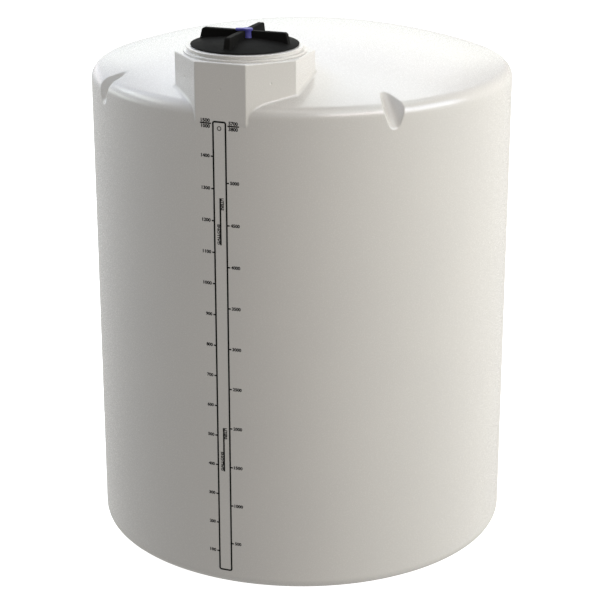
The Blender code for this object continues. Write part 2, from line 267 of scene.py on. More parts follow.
def turned_distance(form, radius, height):
    """Distance to the turned form without the collar, and how level its surface lies."""
    s = form.settings
    outer = RADIUS - SHELL_SET_BACK
    wall = radius - outer
    level = np.zeros_like(radius)
    distance = wall

    shoulder_r = outer - s.shoulder_radius
    tangent_r = shoulder_r + s.shoulder_radius * math.sin(s.dome_slope)
    tangent_z = s.shoulder_height + s.shoulder_radius * math.cos(s.dome_slope)
    sphere = tangent_r / math.sin(s.dome_slope)
    sphere_z = tangent_z - sphere * math.cos(s.dome_slope)
    across = radius - shoulder_r
    up = height - s.shoulder_height
    turn = np.arctan2(up, across)
    in_shoulder = (up > 0.0) & (turn < math.pi / 2.0 - s.dome_slope)
    in_dome = (up > 0.0) & ~in_shoulder
    reach = np.hypot(radius, height - sphere_z)
    distance = np.where(in_shoulder, np.hypot(across, up) - s.shoulder_radius, distance)
    level = np.where(in_shoulder, np.sin(turn), level)
    distance = np.where(in_dome, reach - sphere, distance)
    level = np.where(in_dome, (height - sphere_z) / np.maximum(reach, TINY), level)

    knuckle_r = outer - s.knuckle_radius
    low = s.knuckle_radius - height
    out = radius - knuckle_r
    in_knuckle = (low > 0.0) & (out > 0.0)
    in_floor = (height < s.knuckle_radius) & (out <= 0.0)
    distance = np.where(in_knuckle, np.hypot(out, low) - s.knuckle_radius, distance)
    distance = np.where(in_floor, -height, distance)
    return distance + form.inset, level


def nearest_side(x, y):
    """Direction of the collar's side that faces a place, as an angle from +X."""
    return np.round((np.arctan2(y, x) + math.pi / 2.0) / SIDE_STEP) * SIDE_STEP - math.pi / 2.0


def octagon_distance(points, apothem, corner):
    """Distance to an upright octagonal column round the manway, and its side's direction."""
    x = points[:, 0]
    y = points[:, 1] - MANWAY_Y
    side = nearest_side(x, y)
    normal_x = np.cos(side)
    normal_y = np.sin(side)
    inner = apothem - corner
    out = x * normal_x + y * normal_y - inner
    along = np.abs(y * normal_x - x * normal_y) - inner * math.tan(SIDE_STEP / 2.0)
    beyond = np.hypot(np.maximum(out, 0.0), np.maximum(along, 0.0))
    distance = np.where(out > 0.0, beyond, out) - corner
    return distance, normal_x, normal_y


def trough_round(along):
    """Radius of a trough's bottom at a distance down from its top end."""
    top, foot = TROUGH_ROUND
    length = (TROUGH_FOOT - TROUGH_TOP).length
    return np.clip(top + (foot - top) * along / length, *TROUGH_ROUND_LIMITS)


def trough_distance(form, points):
    """Distance to the four wedges with a round edge whose lower sides form the tie-down troughs."""
    slope = (TROUGH_FOOT - TROUGH_TOP).normalized()
    x = np.abs(points[:, 0])
    y = np.abs(points[:, 1])
    out = x * math.cos(TROUGH_ANGLE) + y * math.sin(TROUGH_ANGLE) - TROUGH_TOP.x
    up = points[:, 2] - TROUGH_TOP.y
    side = np.abs(y * math.cos(TROUGH_ANGLE) - x * math.sin(TROUGH_ANGLE))
    bottom = trough_round(out * slope.x + up * slope.y)
    above = up * slope.x - out * slope.y - bottom
    half = form.settings.trough_half_angle
    flank = side * math.cos(half) - above * math.sin(half)
    on_flank = side * math.sin(half) + above * math.cos(half) > 0.0
    return np.where(on_flank, flank, np.hypot(side, above)) - bottom - form.inset


def dimple_distance(form, points):
    """Distance to the small mould marks in the middle of the collar's sides."""
    x = points[:, 0]
    y = points[:, 1] - MANWAY_Y
    side = nearest_side(x, y)
    apothem = form.settings.collar_apothem
    side_radius = np.hypot(apothem * np.cos(side), MANWAY_Y + apothem * np.sin(side))
    drop = np.where(side_radius > FRONT_SIDE_RADIUS, DIMPLE_DROP_FRONT, DIMPLE_DROP)
    centre_z = COLLAR_TOP - drop
    reach = apothem + DIMPLE_RADIUS - DIMPLE_DEPTH
    out = x * np.cos(side) + y * np.sin(side) - reach
    across = y * np.cos(side) - x * np.sin(side)
    return np.sqrt(out**2 + across**2 + (points[:, 2] - centre_z) ** 2) - DIMPLE_RADIUS


def tank_distance(form, points):
    """Signed distance to the whole moulded form."""
    s = form.settings
    radius = np.hypot(points[:, 0], points[:, 1])
    height = points[:, 2]
    body, level = turned_distance(form, radius, height)
    troughs = trough_distance(form, points)
    body = round_intersection(body, -troughs, s.trough_lip + form.inset * 0.5)

    draw = np.clip((COLLAR_FULL_Z - height) / (COLLAR_FULL_Z - COLLAR_FOOT_Z), 0.0, 1.0)
    draw = draw * draw * (3.0 - 2.0 * draw) * COLLAR_FOOT_INSET
    column, normal_x, normal_y = octagon_distance(points, s.collar_apothem, s.collar_corner)
    column = column + form.inset + draw
    top = height - COLLAR_TOP + form.inset
    column = round_intersection(column, top, s.collar_rim)
    column = np.maximum(column, COLLAR_FOOT_Z - COLLAR_ROOT - height)
    facing = (points[:, 0] * normal_x + points[:, 1] * normal_y) / np.maximum(radius, TINY)
    apart = 1.0 - np.clip(facing, -1.0, 1.0) * np.sqrt(np.maximum(1.0 - level**2, 0.0))
    fillet = s.collar_fillet * np.clip(apart, 0.0, 1.0)
    whole = round_union(body, column, fillet)
    if form.inset == 0.0:
        whole = round_intersection(whole, -dimple_distance(form, points), DIMPLE_EDGE)
    return whole


def gradient(form, points, step=GRADIENT_STEP):
    """Direction in which the distance grows, at each point."""
    slopes = []
    for axis in range(3):
        shift = np.zeros(3)
        shift[axis] = step
        slopes.append(form.distance(points + shift) - form.distance(points - shift))
    return np.stack(slopes, axis=1) / (2.0 * step)


def vertex_array(bm):
    """Places of a bmesh's vertices."""
    return np.array([v.co[:] for v in bm.verts])


def set_vertices(bm, places):
    """Move a bmesh's vertices to an array of places."""
    for vert, place in zip(bm.verts, places):
        vert.co = place


def settle(bm, form, rounds=6, keep_height=None):
    """Move the vertices of a bmesh onto the surface of a form."""
    places = vertex_array(bm)
    held = None
    if keep_height is not None:
        held = np.abs(places[:, 2] - keep_height) < SAME_HEIGHT
    for _ in range(rounds):
        distance = form.distance(places)
        slope = gradient(form, places)
        size = np.maximum((slope**2).sum(axis=1), LEAST_SLOPE)
        move = -(distance / size)[:, None] * slope
        length = np.linalg.norm(move, axis=1)
        move *= np.minimum(1.0, LONGEST_MOVE / np.maximum(length, TINY))[:, None]
        if held is not None:
            move[held, 2] = 0.0
        places = places + move
    set_vertices(bm, places)


def unit_normals(form, places):
    """Outward unit normals of a form at an array of places."""
    slope = gradient(form, places)
    return slope / np.maximum(np.linalg.norm(slope, axis=1), TINY)[:, None]


def refine_bends(bm, form, bend, shortest):
    """Split every edge across which the form turns by more than an angle."""
    places = vertex_array(bm)
    normals = unit_normals(form, places)
    bm.verts.index_update()
    pairs = np.array([[e.verts[0].index, e.verts[1].index] for e in bm.edges])
    turn = (normals[pairs[:, 0]] * normals[pairs[:, 1]]).sum(axis=1)
    length = np.linalg.norm(places[pairs[:, 0]] - places[pairs[:, 1]], axis=1)
    wanted = (turn < math.cos(bend)) & (length > shortest)
    split_edges(bm, wanted)


def split_edges(bm, wanted):
    """Split the edges that a mask marks, once."""
    chosen = [edge for edge, want in zip(bm.edges, wanted) if want]
    if chosen:
        bmesh.ops.subdivide_edges(bm, edges=chosen, cuts=1, use_grid_fill=True)


def edge_middles(bm):
    """Middles of a bmesh's edges."""
    return np.array([((e.verts[0].co + e.verts[1].co) / 2.0)[:] for e in bm.edges])


class LidForm:
    """The conical lid plate with its four crossing vanes."""

    shoulder = (0.212, 0.0125)
    crown = 0.046
    rim = 0.0062
    cone_round = 0.020
    crown_round = 0.006
    edge_round = 0.0025
    foot_round = 0.0020
    vane_half = 0.0145
    vane_draft = 0.0020
    vane_lean = 0.22
    vane_low = 0.003
    vane_end_round = 0.010
    vane_side_round = 0.0028
    cross_fillet = 0.006
    plate_fillet = 0.0035

    def distance(self, points):
        """Signed distances of points to the form."""
        x = np.abs(points[:, 0])
        y = np.abs(points[:, 1] - MANWAY_Y)
        height = points[:, 2] - PLATE_LOW
        radius = np.hypot(x, y)
        fall = (CROWN_RISE - self.shoulder[1]) / (self.shoulder[0] - self.crown)
        cone = (height - CROWN_RISE + fall * (radius - self.crown)) / math.hypot(1.0, fall)
        steep = (self.shoulder[1] - self.rim) / (PLATE_RADIUS - self.shoulder[0])
        shoulder = height - self.shoulder[1] + steep * (radius - self.shoulder[0])
        shoulder = shoulder / math.hypot(1.0, steep)
        plate = round_intersection(cone, shoulder, self.cone_round)
        plate = round_intersection(plate, height - CROWN_RISE, self.crown_round)
        plate = round_intersection(plate, radius - PLATE_RADIUS, self.edge_round)
        plate = round_intersection(plate, -height, self.foot_round)
        cross = round_union(self.vane(x, y, height), self.vane(y, x, height), self.cross_fillet)
        cross = np.maximum(np.maximum(cross, self.vane_low - height), height - VANE_RISE)
        return round_union(plate, cross, self.plate_fillet)

    def vane(self, along, across, height):
        """Signed distances to one pair of opposite vanes."""
        side = across - self.vane_half + self.vane_draft * height / VANE_RISE
        end = along - VANE_END + self.vane_lean * (height - self.rim)
        end = end / math.hypot(1.0, self.vane_lean)
        profile = round_intersection(end, height - VANE_RISE, self.vane_end_round)
        return round_intersection(side, profile, self.vane_side_round)


# Shapes from outlines

MERGE_DISTANCE = 0.00002
LONGEST_CUT = 0.49
HOLD_SHARE = 0.2


def polar(radius, angle, z=0.0, centre=(0.0, 0.0)):
    """A point at a radius and an angle from +X about an upright axis."""
    return Vector((centre[0] + radius * math.cos(angle), centre[1] + radius * math.sin(angle), z))


def spin_outline(outline, steps, closed=True, centre=(0.0, 0.0)):
    """Turn an (r, z) outline once about an upright axis."""
    bm = bmesh.new()
    verts = [bm.verts.new((r, 0.0, z)) for r, z in outline]
    pairs = list(zip(verts, verts[1:]))
    if closed:
        pairs.append((verts[-1], verts[0]))
    edges = [bm.edges.new(pair) for pair in pairs]
    bmesh.ops.spin(
        bm,
        geom=verts + edges,
        cent=(0.0, 0.0, 0.0),
        axis=(0.0, 0.0, 1.0),
        angle=2.0 * math.pi,
        steps=steps,
        use_merge=True,
        use_duplicate=False,
    )
    bmesh.ops.remove_doubles(bm, verts=bm.verts, dist=MERGE_DISTANCE)
    bmesh.ops.translate(bm, verts=bm.verts, vec=(centre[0], centre[1], 0.0))
    bmesh.ops.recalc_face_normals(bm, faces=bm.faces)
    return bm


def round_corners(outline, radii, steps=4):
    """Round the corners of a closed (r, z) outline, with points that hold the flats beside them."""
    count = len(outline)
    rounded = []
    for index, (here, radius) in enumerate(zip(outline, radii)):
        corner = Vector(here)
        before = Vector(outline[index - 1]) - corner
        after = Vector(outline[(index + 1) % count]) - corner
        if radius <= 0.0:
            rounded.append(tuple(corner))
            continue
        half = before.angle(after) / 2.0
        cut = min(radius / math.tan(half), before.length * LONGEST_CUT, after.length * LONGEST_CUT)
        start = corner + before.normalized() * cut
        end = corner + after.normalized() * cut
        hold_before = before.normalized() * (before.length / 2.0 - cut) * HOLD_SHARE
        hold_after = after.normalized() * (after.length / 2.0 - cut) * HOLD_SHARE
        rounded.append(tuple(start + hold_before))
        for step in range(steps + 1):
            t = step / steps
            point = start * (1 - t) ** 2 + corner * 2 * t * (1 - t) + end * t**2
            rounded.append(tuple(point))
        rounded.append(tuple(end + hold_after))
    return rounded


def prism(outline, low, high):
    """Extrude a flat outline upwards."""
    bm = bmesh.new()
    face = bm.faces.new([bm.verts.new((x, y, low)) for x, y in outline])
    grown = bmesh.ops.extrude_face_region(bm, geom=[face])
    lifted = [item for item in grown["geom"] if isinstance(item, bmesh.types.BMVert)]
    bmesh.ops.translate(bm, verts=lifted, vec=(0.0, 0.0, high - low))
    bmesh.ops.recalc_face_normals(bm, faces=bm.faces)
    return bm


def add_bmesh(bm, other):
    """Copy another bmesh into a bmesh and free the other."""
    mesh = bpy.data.meshes.new("part")
    other.to_mesh(mesh)
    other.free()
    bm.from_mesh(mesh)
    bpy.data.meshes.remove(mesh)


def new_object(name, bm, material=None, smooth_angle=None):
    """Turn a bmesh into an object at the origin."""
    mesh = bpy.data.meshes.new(name)
    bm.to_mesh(mesh)
    bm.free()
    obj = bpy.data.objects.new(name, mesh)
    bpy.context.collection.objects.link(obj)
    if material:
        mesh.materials.append(material)
    if smooth_angle is not None:
        mesh.shade_smooth()
        mesh.set_sharp_from_angle(angle=smooth_angle)
    return obj


def evaluated_bmesh(obj):
    """The evaluated mesh of a guide object as a bmesh; the object is removed."""
    bpy.context.view_layer.update()
    graph = bpy.context.evaluated_depsgraph_get()
    mesh = bpy.data.meshes.new_from_object(obj.evaluated_get(graph))
    bm = bmesh.new()
    bm.from_mesh(mesh)
    bpy.data.meshes.remove(mesh)
    old = obj.data
    bpy.data.objects.remove(obj)
    bpy.data.meshes.remove(old)
    return bm


def boolean(obj, other, operation):
    """Add an exact Boolean modifier to a guide object."""
    modifier = obj.modifiers.new(operation.lower(), "BOOLEAN")
    modifier.operation = operation
    modifier.solver = "EXACT"
    modifier.object = other


def even_bmesh(obj, guides, voxel):
    """Even quad mesh of a guide object with its Booleans; the object and its guides are removed."""
    remesh = obj.modifiers.new("even", "REMESH")
    remesh.mode = "VOXEL"
    remesh.voxel_size = voxel
    bm = evaluated_bmesh(obj)
    for guide in guides:
        bpy.data.objects.remove(guide)
    return bm


# Node groups and materials

# Colour sockets of a Mix node, whose names it uses for every type of data
MIX_A = 6
MIX_B = 7
MIX_RESULT = 2

Grain = namedtuple("Grain", "scale ripple_scale ripple strength distance")
Cloud = namedtuple("Cloud", "scale amount")


def group_tree(name, inputs, outputs):
    """A new shader node group with float or colour sockets."""
    tree = bpy.data.node_groups.new(name, "ShaderNodeTree")
    for label, kind, value in inputs:
        socket = tree.interface.new_socket(name=label, in_out="INPUT", socket_type=kind)
        socket.default_value = value
    for label, kind in outputs:
        tree.interface.new_socket(name=label, in_out="OUTPUT", socket_type=kind)
    return tree, tree.nodes.new("NodeGroupInput"), tree.nodes.new("NodeGroupOutput")


def node(tree, kind, values=None, **options):
    """Add a node, set its options and link or set its inputs."""
    made = tree.nodes.new(kind)
    for key, value in options.items():
        setattr(made, key, value)
    for key, value in (values or {}).items():
        if isinstance(value, bpy.types.NodeSocket):
            tree.links.new(value, made.inputs[key])
        else:
            made.inputs[key].default_value = value
    return made


def moulded_grain_group():
    """Fine skin of moulded plastic: a height for a Bump node and a mask of its pits."""
    name = "Moulded Grain"
    if name in bpy.data.node_groups:
        return bpy.data.node_groups[name]
    tree, given, out = group_tree(
        name,
        [("Scale", "NodeSocketFloat", 400.0), ("Ripple Scale", "NodeSocketFloat", 30.0),
         ("Ripple", "NodeSocketFloat", 0.5)],
        [("Height", "NodeSocketFloat"), ("Mask", "NodeSocketFloat")],
    )
    place = node(tree, "ShaderNodeTexCoord")
    fine = node(tree, "ShaderNodeTexNoise",
                {"Vector": place.outputs["Object"], "Scale": given.outputs["Scale"], "Detail": 2.0})
    slow = node(tree, "ShaderNodeTexNoise",
                {"Vector": place.outputs["Object"], "Scale": given.outputs["Ripple Scale"],
                 "Detail": 1.0})
    mixed = node(tree, "ShaderNodeMix",
                 {"Factor": given.outputs["Ripple"], "A": fine.outputs["Fac"],
                  "B": slow.outputs["Fac"]},
                 data_type="FLOAT")
    tree.links.new(mixed.outputs["Result"], out.inputs["Height"])
    tree.links.new(fine.outputs["Fac"], out.inputs["Mask"])
    return tree


def cloudy_tint_group():
    """Slow change of a colour over the surface, as resin and wall thickness vary."""
    name = "Cloudy Tint"
    if name in bpy.data.node_groups:
        return bpy.data.node_groups[name]
    tree, given, out = group_tree(
        name,
        [("Colour", "NodeSocketColor", (0.8, 0.8, 0.8, 1.0)),
         ("Tint", "NodeSocketColor", (0.7, 0.7, 0.7, 1.0)),
         ("Scale", "NodeSocketFloat", 3.0), ("Amount", "NodeSocketFloat", 0.5)],
        [("Colour", "NodeSocketColor"), ("Mask", "NodeSocketFloat")],
    )
    place = node(tree, "ShaderNodeTexCoord")
    cloud = node(tree, "ShaderNodeTexNoise",
                 {"Vector": place.outputs["Object"], "Scale": given.outputs["Scale"], "Detail": 3.0,
                  "Roughness": 0.55})
    spread = node(tree, "ShaderNodeMapRange",
                  {"Value": cloud.outputs["Fac"], "From Min": 0.35, "From Max": 0.68})
    share = node(tree, "ShaderNodeMath",
                 {0: spread.outputs["Result"], 1: given.outputs["Amount"]}, operation="MULTIPLY")
    mixed = node(tree, "ShaderNodeMix", data_type="RGBA")
    tree.links.new(share.outputs[0], mixed.inputs["Factor"])
    tree.links.new(given.outputs["Colour"], mixed.inputs[MIX_A])
    tree.links.new(given.outputs["Tint"], mixed.inputs[MIX_B])
    tree.links.new(mixed.outputs[MIX_RESULT], out.inputs["Colour"])
    tree.links.new(spread.outputs["Result"], out.inputs["Mask"])
    return tree


def plastic_material(name, colour, tint, roughness, grain, cloud, constants=None):
    """Moulded plastic: a cloudy colour, roughness that varies with the grain, and a fine bump."""
    if name in bpy.data.materials:
        return bpy.data.materials[name]
    made = bpy.data.materials.new(name)
    made.use_nodes = True
    tree = made.node_tree
    shader = tree.nodes["Principled BSDF"]
    for key, value in (constants or {}).items():
        shader.inputs[key].default_value = value

    tinted = tree.nodes.new("ShaderNodeGroup")
    tinted.node_tree = cloudy_tint_group()
    tinted.inputs["Colour"].default_value = (*colour, 1.0)
    tinted.inputs["Tint"].default_value = (*tint, 1.0)
    tinted.inputs["Scale"].default_value = cloud.scale
    tinted.inputs["Amount"].default_value = cloud.amount
    tree.links.new(tinted.outputs["Colour"], shader.inputs["Base Color"])

    skin = tree.nodes.new("ShaderNodeGroup")
    skin.node_tree = moulded_grain_group()
    skin.inputs["Scale"].default_value = grain.scale
    skin.inputs["Ripple Scale"].default_value = grain.ripple_scale
    skin.inputs["Ripple"].default_value = grain.ripple
    rough = node(tree, "ShaderNodeMapRange",
                 {"Value": skin.outputs["Mask"], "From Min": 0.3, "From Max": 0.7,
                  "To Min": roughness[0], "To Max": roughness[1]})
    tree.links.new(rough.outputs["Result"], shader.inputs["Roughness"])
    bump = node(tree, "ShaderNodeBump",
                {"Height": skin.outputs["Height"], "Strength": grain.strength,
                 "Distance": grain.distance})
    tree.links.new(bump.outputs["Normal"], shader.inputs["Normal"])
    return made


def shell_material():
    """Natural polyethylene of the shell."""
    s = settings()
    colour = tuple(s.shell_colour)
    tint = (colour[0] * 0.965, colour[1] * 0.968, colour[2] * 0.975)
    return plastic_material(
        "natural_polyethylene", colour, tint, (0.22, 0.30),
        Grain(260.0, 22.0, 0.35, 0.08, 0.0006), Cloud(2.2, 0.6),
        {"Subsurface Weight": 0.06, "Subsurface Scale": 0.01,
         "Subsurface Radius": (1.0, 0.95, 0.85)},
    )


def lid_material():
    """Black moulded polypropylene of the lid."""
    colour = tuple(settings().lid_colour)
    tint = tuple(c * 1.6 for c in colour)
    return plastic_material(
        "black_polypropylene", colour, tint, (0.58, 0.74),
        Grain(900.0, 60.0, 0.2, 0.25, 0.0004), Cloud(14.0, 0.5),
        {"Specular IOR Level": 0.02},
    )


def vent_material():
    """Violet polypropylene of the vent."""
    colour = tuple(settings().vent_colour)
    tint = (colour[0] * 1.5, colour[1] * 1.5, colour[2] * 1.15)
    return plastic_material(
        "violet_polypropylene", colour, tint, (0.38, 0.50),
        Grain(700.0, 90.0, 0.3, 0.15, 0.0003), Cloud(40.0, 0.6),
        {"Specular IOR Level": 0.20},
    )


def seal_material():
    """Black rubber of the seal."""
    return plastic_material(
        "seal_rubber", (0.010, 0.010, 0.010), (0.020, 0.020, 0.019), (0.62, 0.78),
        Grain(1200.0, 80.0, 0.3, 0.3, 0.0003), Cloud(30.0, 0.7),
    )


def ink_material():
    """Black ink of the printed scale, slightly uneven as it takes on polyethylene."""
    colour = tuple(settings().ink_colour)
    tint = (0.008, 0.008, 0.008)
    return plastic_material(
        "scale_ink", colour, tint, (0.50, 0.70),
        Grain(1500.0, 300.0, 0.3, 0.10, 0.0001), Cloud(60.0, 0.8),
        {"Specular IOR Level": 0.06},
    )


# Tank shell

TOP_CUT_Z = 2.000
CUT_STRIP = 0.020
INNER_VOXEL_FACTOR = 2.2
LOWER_STEPS = 288
WALL_STEPS = 10
KNUCKLE_STEPS = 10
HOLE_RADIUS = 0.2125
DECK_BAND = 0.02
RIM_BAND = 0.05
HOLE_BAND = 0.012

# Rough solid: how far it reaches below the cut, where its collar starts above that, and its steps
ROUGH_DEPTH = 0.05
ROUGH_COLUMN_START = 0.1
ROUGH_STEPS = 96
ROOF_ARC_STEPS = 6

# Wedge that cuts a trough: its ends along the trough, its height and the steps of its round edge
WEDGE_START = -0.018
WEDGE_PAST = 0.080
WEDGE_HEIGHT = 0.08
WEDGE_STEPS = 8

# Part of the top that carries print, and the reach of a mould mark, both with finer faces
PRINT_HALF_WIDTH = 0.13
PRINT_FRONT = -0.90
PRINT_LOW = 2.03
PRINT_HIGH = 2.115
DIMPLE_REACH = 0.010

# Bends that are split, as an angle and a shortest edge, from the first pass to the last
SHELL_PASSES = (
    (math.radians(11.0), 0.0045),
    (math.radians(11.0), 0.0030),
    (math.radians(14.0), 0.0020),
)


def roof_outline(form, low):
    """Half outline of the roof for the rough solid, from its lower edge to its top."""
    s = form.settings
    outer = RADIUS - SHELL_SET_BACK
    centre_r = outer - s.shoulder_radius
    radius = s.shoulder_radius - form.inset
    points = [(0.0, low), (outer - form.inset, low)]
    steps = ROOF_ARC_STEPS
    for step in range(steps + 1):
        angle = (math.pi / 2.0 - s.dome_slope) * step / steps
        across, up = radius * math.cos(angle), radius * math.sin(angle)
        points.append((centre_r + across, s.shoulder_height + up))
    tangent_r = centre_r + s.shoulder_radius * math.sin(s.dome_slope)
    sphere = tangent_r / math.sin(s.dome_slope)
    sphere_z = s.shoulder_height + s.shoulder_radius * math.cos(s.dome_slope)
    sphere_z -= sphere * math.cos(s.dome_slope)
    for step in range(steps - 1, -1, -1):
        angle = s.dome_slope * step / steps
        reach = sphere - form.inset
        points.append((reach * math.sin(angle), sphere_z + reach * math.cos(angle)))
    return points


def octagon(apothem):
    """Corners of the collar's octagon."""
    corner = apothem / math.cos(math.pi / SIDES)
    corners = []
    for side in range(SIDES):
        angle = -math.pi / 2.0 + (side - 0.5) * SIDE_STEP
        point = polar(corner, angle, centre=(0.0, MANWAY_Y))
        corners.append((point.x, point.y))
    return corners


def rough_top(form, voxel):
    """Even quad mesh of the roof and collar, joined from plain solids."""
    low = TOP_CUT_Z - ROUGH_DEPTH
    roof = spin_outline(roof_outline(form, low), ROUGH_STEPS, closed=False)
    body = new_object("rough_roof", roof)
    corners = octagon(form.settings.collar_apothem - form.inset)
    collar = prism(corners, low + ROUGH_COLUMN_START, COLLAR_TOP - form.inset)
    column = new_object("rough_column", collar)
    boolean(body, column, "UNION")
    guides = [column]
    for x, y in ((1, 1), (1, -1), (-1, 1), (-1, -1)):
        direction = (x * math.cos(TROUGH_ANGLE), y * math.sin(TROUGH_ANGLE))
        wedge = new_object("rough_wedge", trough_wedge(form, direction))
        boolean(body, wedge, "DIFFERENCE")
        guides.append(wedge)
    return even_bmesh(body, guides, voxel)


def refined(bm, form, passes, keep_height=None):
    """Even out a rough mesh on a form and split its bends."""
    settle(bm, form, keep_height=keep_height)
    for _ in range(2):
        inner = [v for v in bm.verts if not v.is_boundary]
        bmesh.ops.smooth_vert(
            bm, verts=inner, factor=0.5, use_axis_x=True, use_axis_y=True, use_axis_z=True
        )
        settle(bm, form, rounds=3, keep_height=keep_height)
    for bend, shortest in passes:
        refine_bends(bm, form, bend, shortest)
        settle(bm, form, rounds=4, keep_height=keep_height)


def trough_wedge(form, direction):
    """Wedge with a round lower edge that cuts one tie-down trough out of the rough solid."""
    half = form.settings.trough_half_angle
    along = (TROUGH_FOOT - TROUGH_TOP).normalized()
    normal = Vector((-along.y, along.x))
    out = Vector((direction[0], direction[1], 0.0))
    side = Vector((-direction[1], direction[0], 0.0))
    bm = bmesh.new()
    rings = []
    for reach in (WEDGE_START, (TROUGH_FOOT - TROUGH_TOP).length + WEDGE_PAST):
        bottom = float(trough_round(reach))
        radius = bottom + form.inset
        half_width = radius / math.cos(half) + (WEDGE_HEIGHT - bottom) * math.tan(half)
        section = [(half_width, WEDGE_HEIGHT), (-half_width, WEDGE_HEIGHT)]
        for step in range(WEDGE_STEPS + 1):
            turn = -math.pi + half + (math.pi - 2.0 * half) * step / WEDGE_STEPS
            section.append((radius * math.cos(turn), bottom + radius * math.sin(turn)))
        place = TROUGH_TOP + along * reach
        verts = []
        for across, rise in section:
            point = place + normal * rise
            verts.append(bm.verts.new(out * point.x + side * across + Vector((0.0, 0.0, point.y))))
        rings.append([bm.edges.new((verts[i - 1], verts[i])) for i in range(len(verts))])
    bmesh.ops.bridge_loops(bm, edges=rings[0] + rings[1])
    bmesh.ops.holes_fill(bm, edges=rings[0] + rings[1], sides=0)
    bmesh.ops.recalc_face_normals(bm, faces=bm.faces)
    return bm


def open_rim(bm, low=None, high=None):
    """Boundary edges whose both ends lie between two heights."""
    found = []
    for edge in bm.edges:
        if not edge.is_boundary:
            continue
        heights = [v.co.z for v in edge.verts]
        if (low is None or min(heights) > low) and (high is None or max(heights) < high):
            found.append(edge)
    return found


def moulded_top(form, voxel, passes, hole):
    """The roof and collar as an open sheet on the moulded form, from the cut height up."""
    bm = rough_top(form, voxel)
    bmesh.ops.bisect_plane(
        bm,
        geom=bm.verts[:] + bm.edges[:] + bm.faces[:],
        plane_co=(0.0, 0.0, TOP_CUT_Z),
        plane_no=(0.0, 0.0, -1.0),
        clear_outer=True,
    )
    refined(bm, form, (), TOP_CUT_Z)
    if form.inset == 0.0:
        for _ in range(2):
            middles = edge_middles(bm)
            printed = (np.abs(middles[:, 0]) < PRINT_HALF_WIDTH) & (middles[:, 1] < PRINT_FRONT)
            printed &= (middles[:, 2] > PRINT_LOW) & (middles[:, 2] < PRINT_HIGH)
            marked = np.abs(dimple_distance(form, middles)) < DIMPLE_REACH
            split_edges(bm, printed | marked)
            settle(bm, form, rounds=3, keep_height=TOP_CUT_Z)
    for bend, shortest in passes:
        refine_bends(bm, form, bend, shortest)
        settle(bm, form, rounds=4, keep_height=TOP_CUT_Z)
    open_hole(bm, form, hole)
    return bm


def open_hole(bm, form, radius):
    """Cut the round manway hole in the collar's deck."""
    deck = COLLAR_TOP - form.inset - DECK_BAND
    middles = edge_middles(bm)
    off = np.abs(np.hypot(middles[:, 0], middles[:, 1] - MANWAY_Y) - radius)
    split_edges(bm, (off < HOLE_BAND) & (middles[:, 2] > deck))
    settle(bm, form, rounds=2, keep_height=TOP_CUT_Z)
    inside = []
    for face in bm.faces:
        centre = face.calc_center_median()
        if centre.z > deck and math.hypot(centre.x, centre.y - MANWAY_Y) < radius:
            inside.append(face)
    bmesh.ops.delete(bm, geom=inside, context="FACES")
    for vert in bm.verts:
        if vert.is_boundary and vert.co.z > deck:
            away = Vector((vert.co.x, vert.co.y - MANWAY_Y)).normalized() * radius
            vert.co.x = away.x
            vert.co.y = away.y + MANWAY_Y


def lower_outline(form):
    """Outline of the wall, knuckle and floor, from the cut height down to the axis."""
    s = form.settings
    outer = RADIUS - SHELL_SET_BACK
    points = []
    start_z = TOP_CUT_Z - CUT_STRIP
    for step in range(WALL_STEPS + 1):
        z = start_z + (s.knuckle_radius - start_z) * step / WALL_STEPS
        points.append((outer - form.inset, z))
    centre = outer - s.knuckle_radius
    radius = s.knuckle_radius - form.inset
    for step in range(1, KNUCKLE_STEPS + 1):
        angle = -math.pi / 2.0 * step / KNUCKLE_STEPS
        across, up = radius * math.cos(angle), radius * math.sin(angle)
        points.append((centre + across, s.knuckle_radius + up))
    points.append((centre * 0.5, form.inset))
    points.append((0.0, form.inset))
    return points


def shell_side(form, voxel, passes):
    """One whole side of the shell: moulded top, wall, knuckle and floor, with the manway open."""
    bm = moulded_top(form, voxel, passes, HOLE_RADIUS)
    add_bmesh(bm, spin_outline(lower_outline(form), LOWER_STEPS, closed=False))
    rims = open_rim(bm, high=TOP_CUT_Z + 0.001)
    bmesh.ops.bridge_loops(bm, edges=rims)
    return bm


class TANK_OT_shell(bpy.types.Operator):
    """Add the moulded shell with its dome, collar, troughs, wall and floor."""

    bl_idname = "tank.shell"
    bl_label = "Tank Shell"

    def execute(self, context):
        s = settings()
        outer = TankForm(0.0, s)
        inner = TankForm(s.wall, s)
        bm = shell_side(outer, s.voxel, SHELL_PASSES)
        add_bmesh(bm, shell_side(inner, s.voxel * INNER_VOXEL_FACTOR, ()))
        rims = open_rim(bm, low=COLLAR_TOP - RIM_BAND)
        bmesh.ops.bridge_loops(bm, edges=rims)
        bmesh.ops.recalc_face_normals(bm, faces=bm.faces)
        places = vertex_array(bm)
        normals = unit_normals(outer, places)
        within = tank_distance(outer, places) < -s.wall / 2.0
        normals[within] = -unit_normals(inner, places[within])
        body = new_object("tank_shell", bm, shell_material())
        body.data.shade_smooth()
        body.data.normals_split_custom_set_from_vertices(normals.tolist())
        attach(body, "tank")
        nodes = ["floor", "base_knuckle"]
        nodes += [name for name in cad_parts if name.startswith(("wall_", "roof_", "collar_"))]
        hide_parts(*nodes)
        return {"FINISHED"}


# Neck, seal and lid

THREAD_PITCH = 0.009
THREAD_BASE = 0.0050
THREAD_CREST = 0.0022
THREAD_ROOT = 0.0006
THREAD_STEPS = 72
THREAD_FADE = 8.0

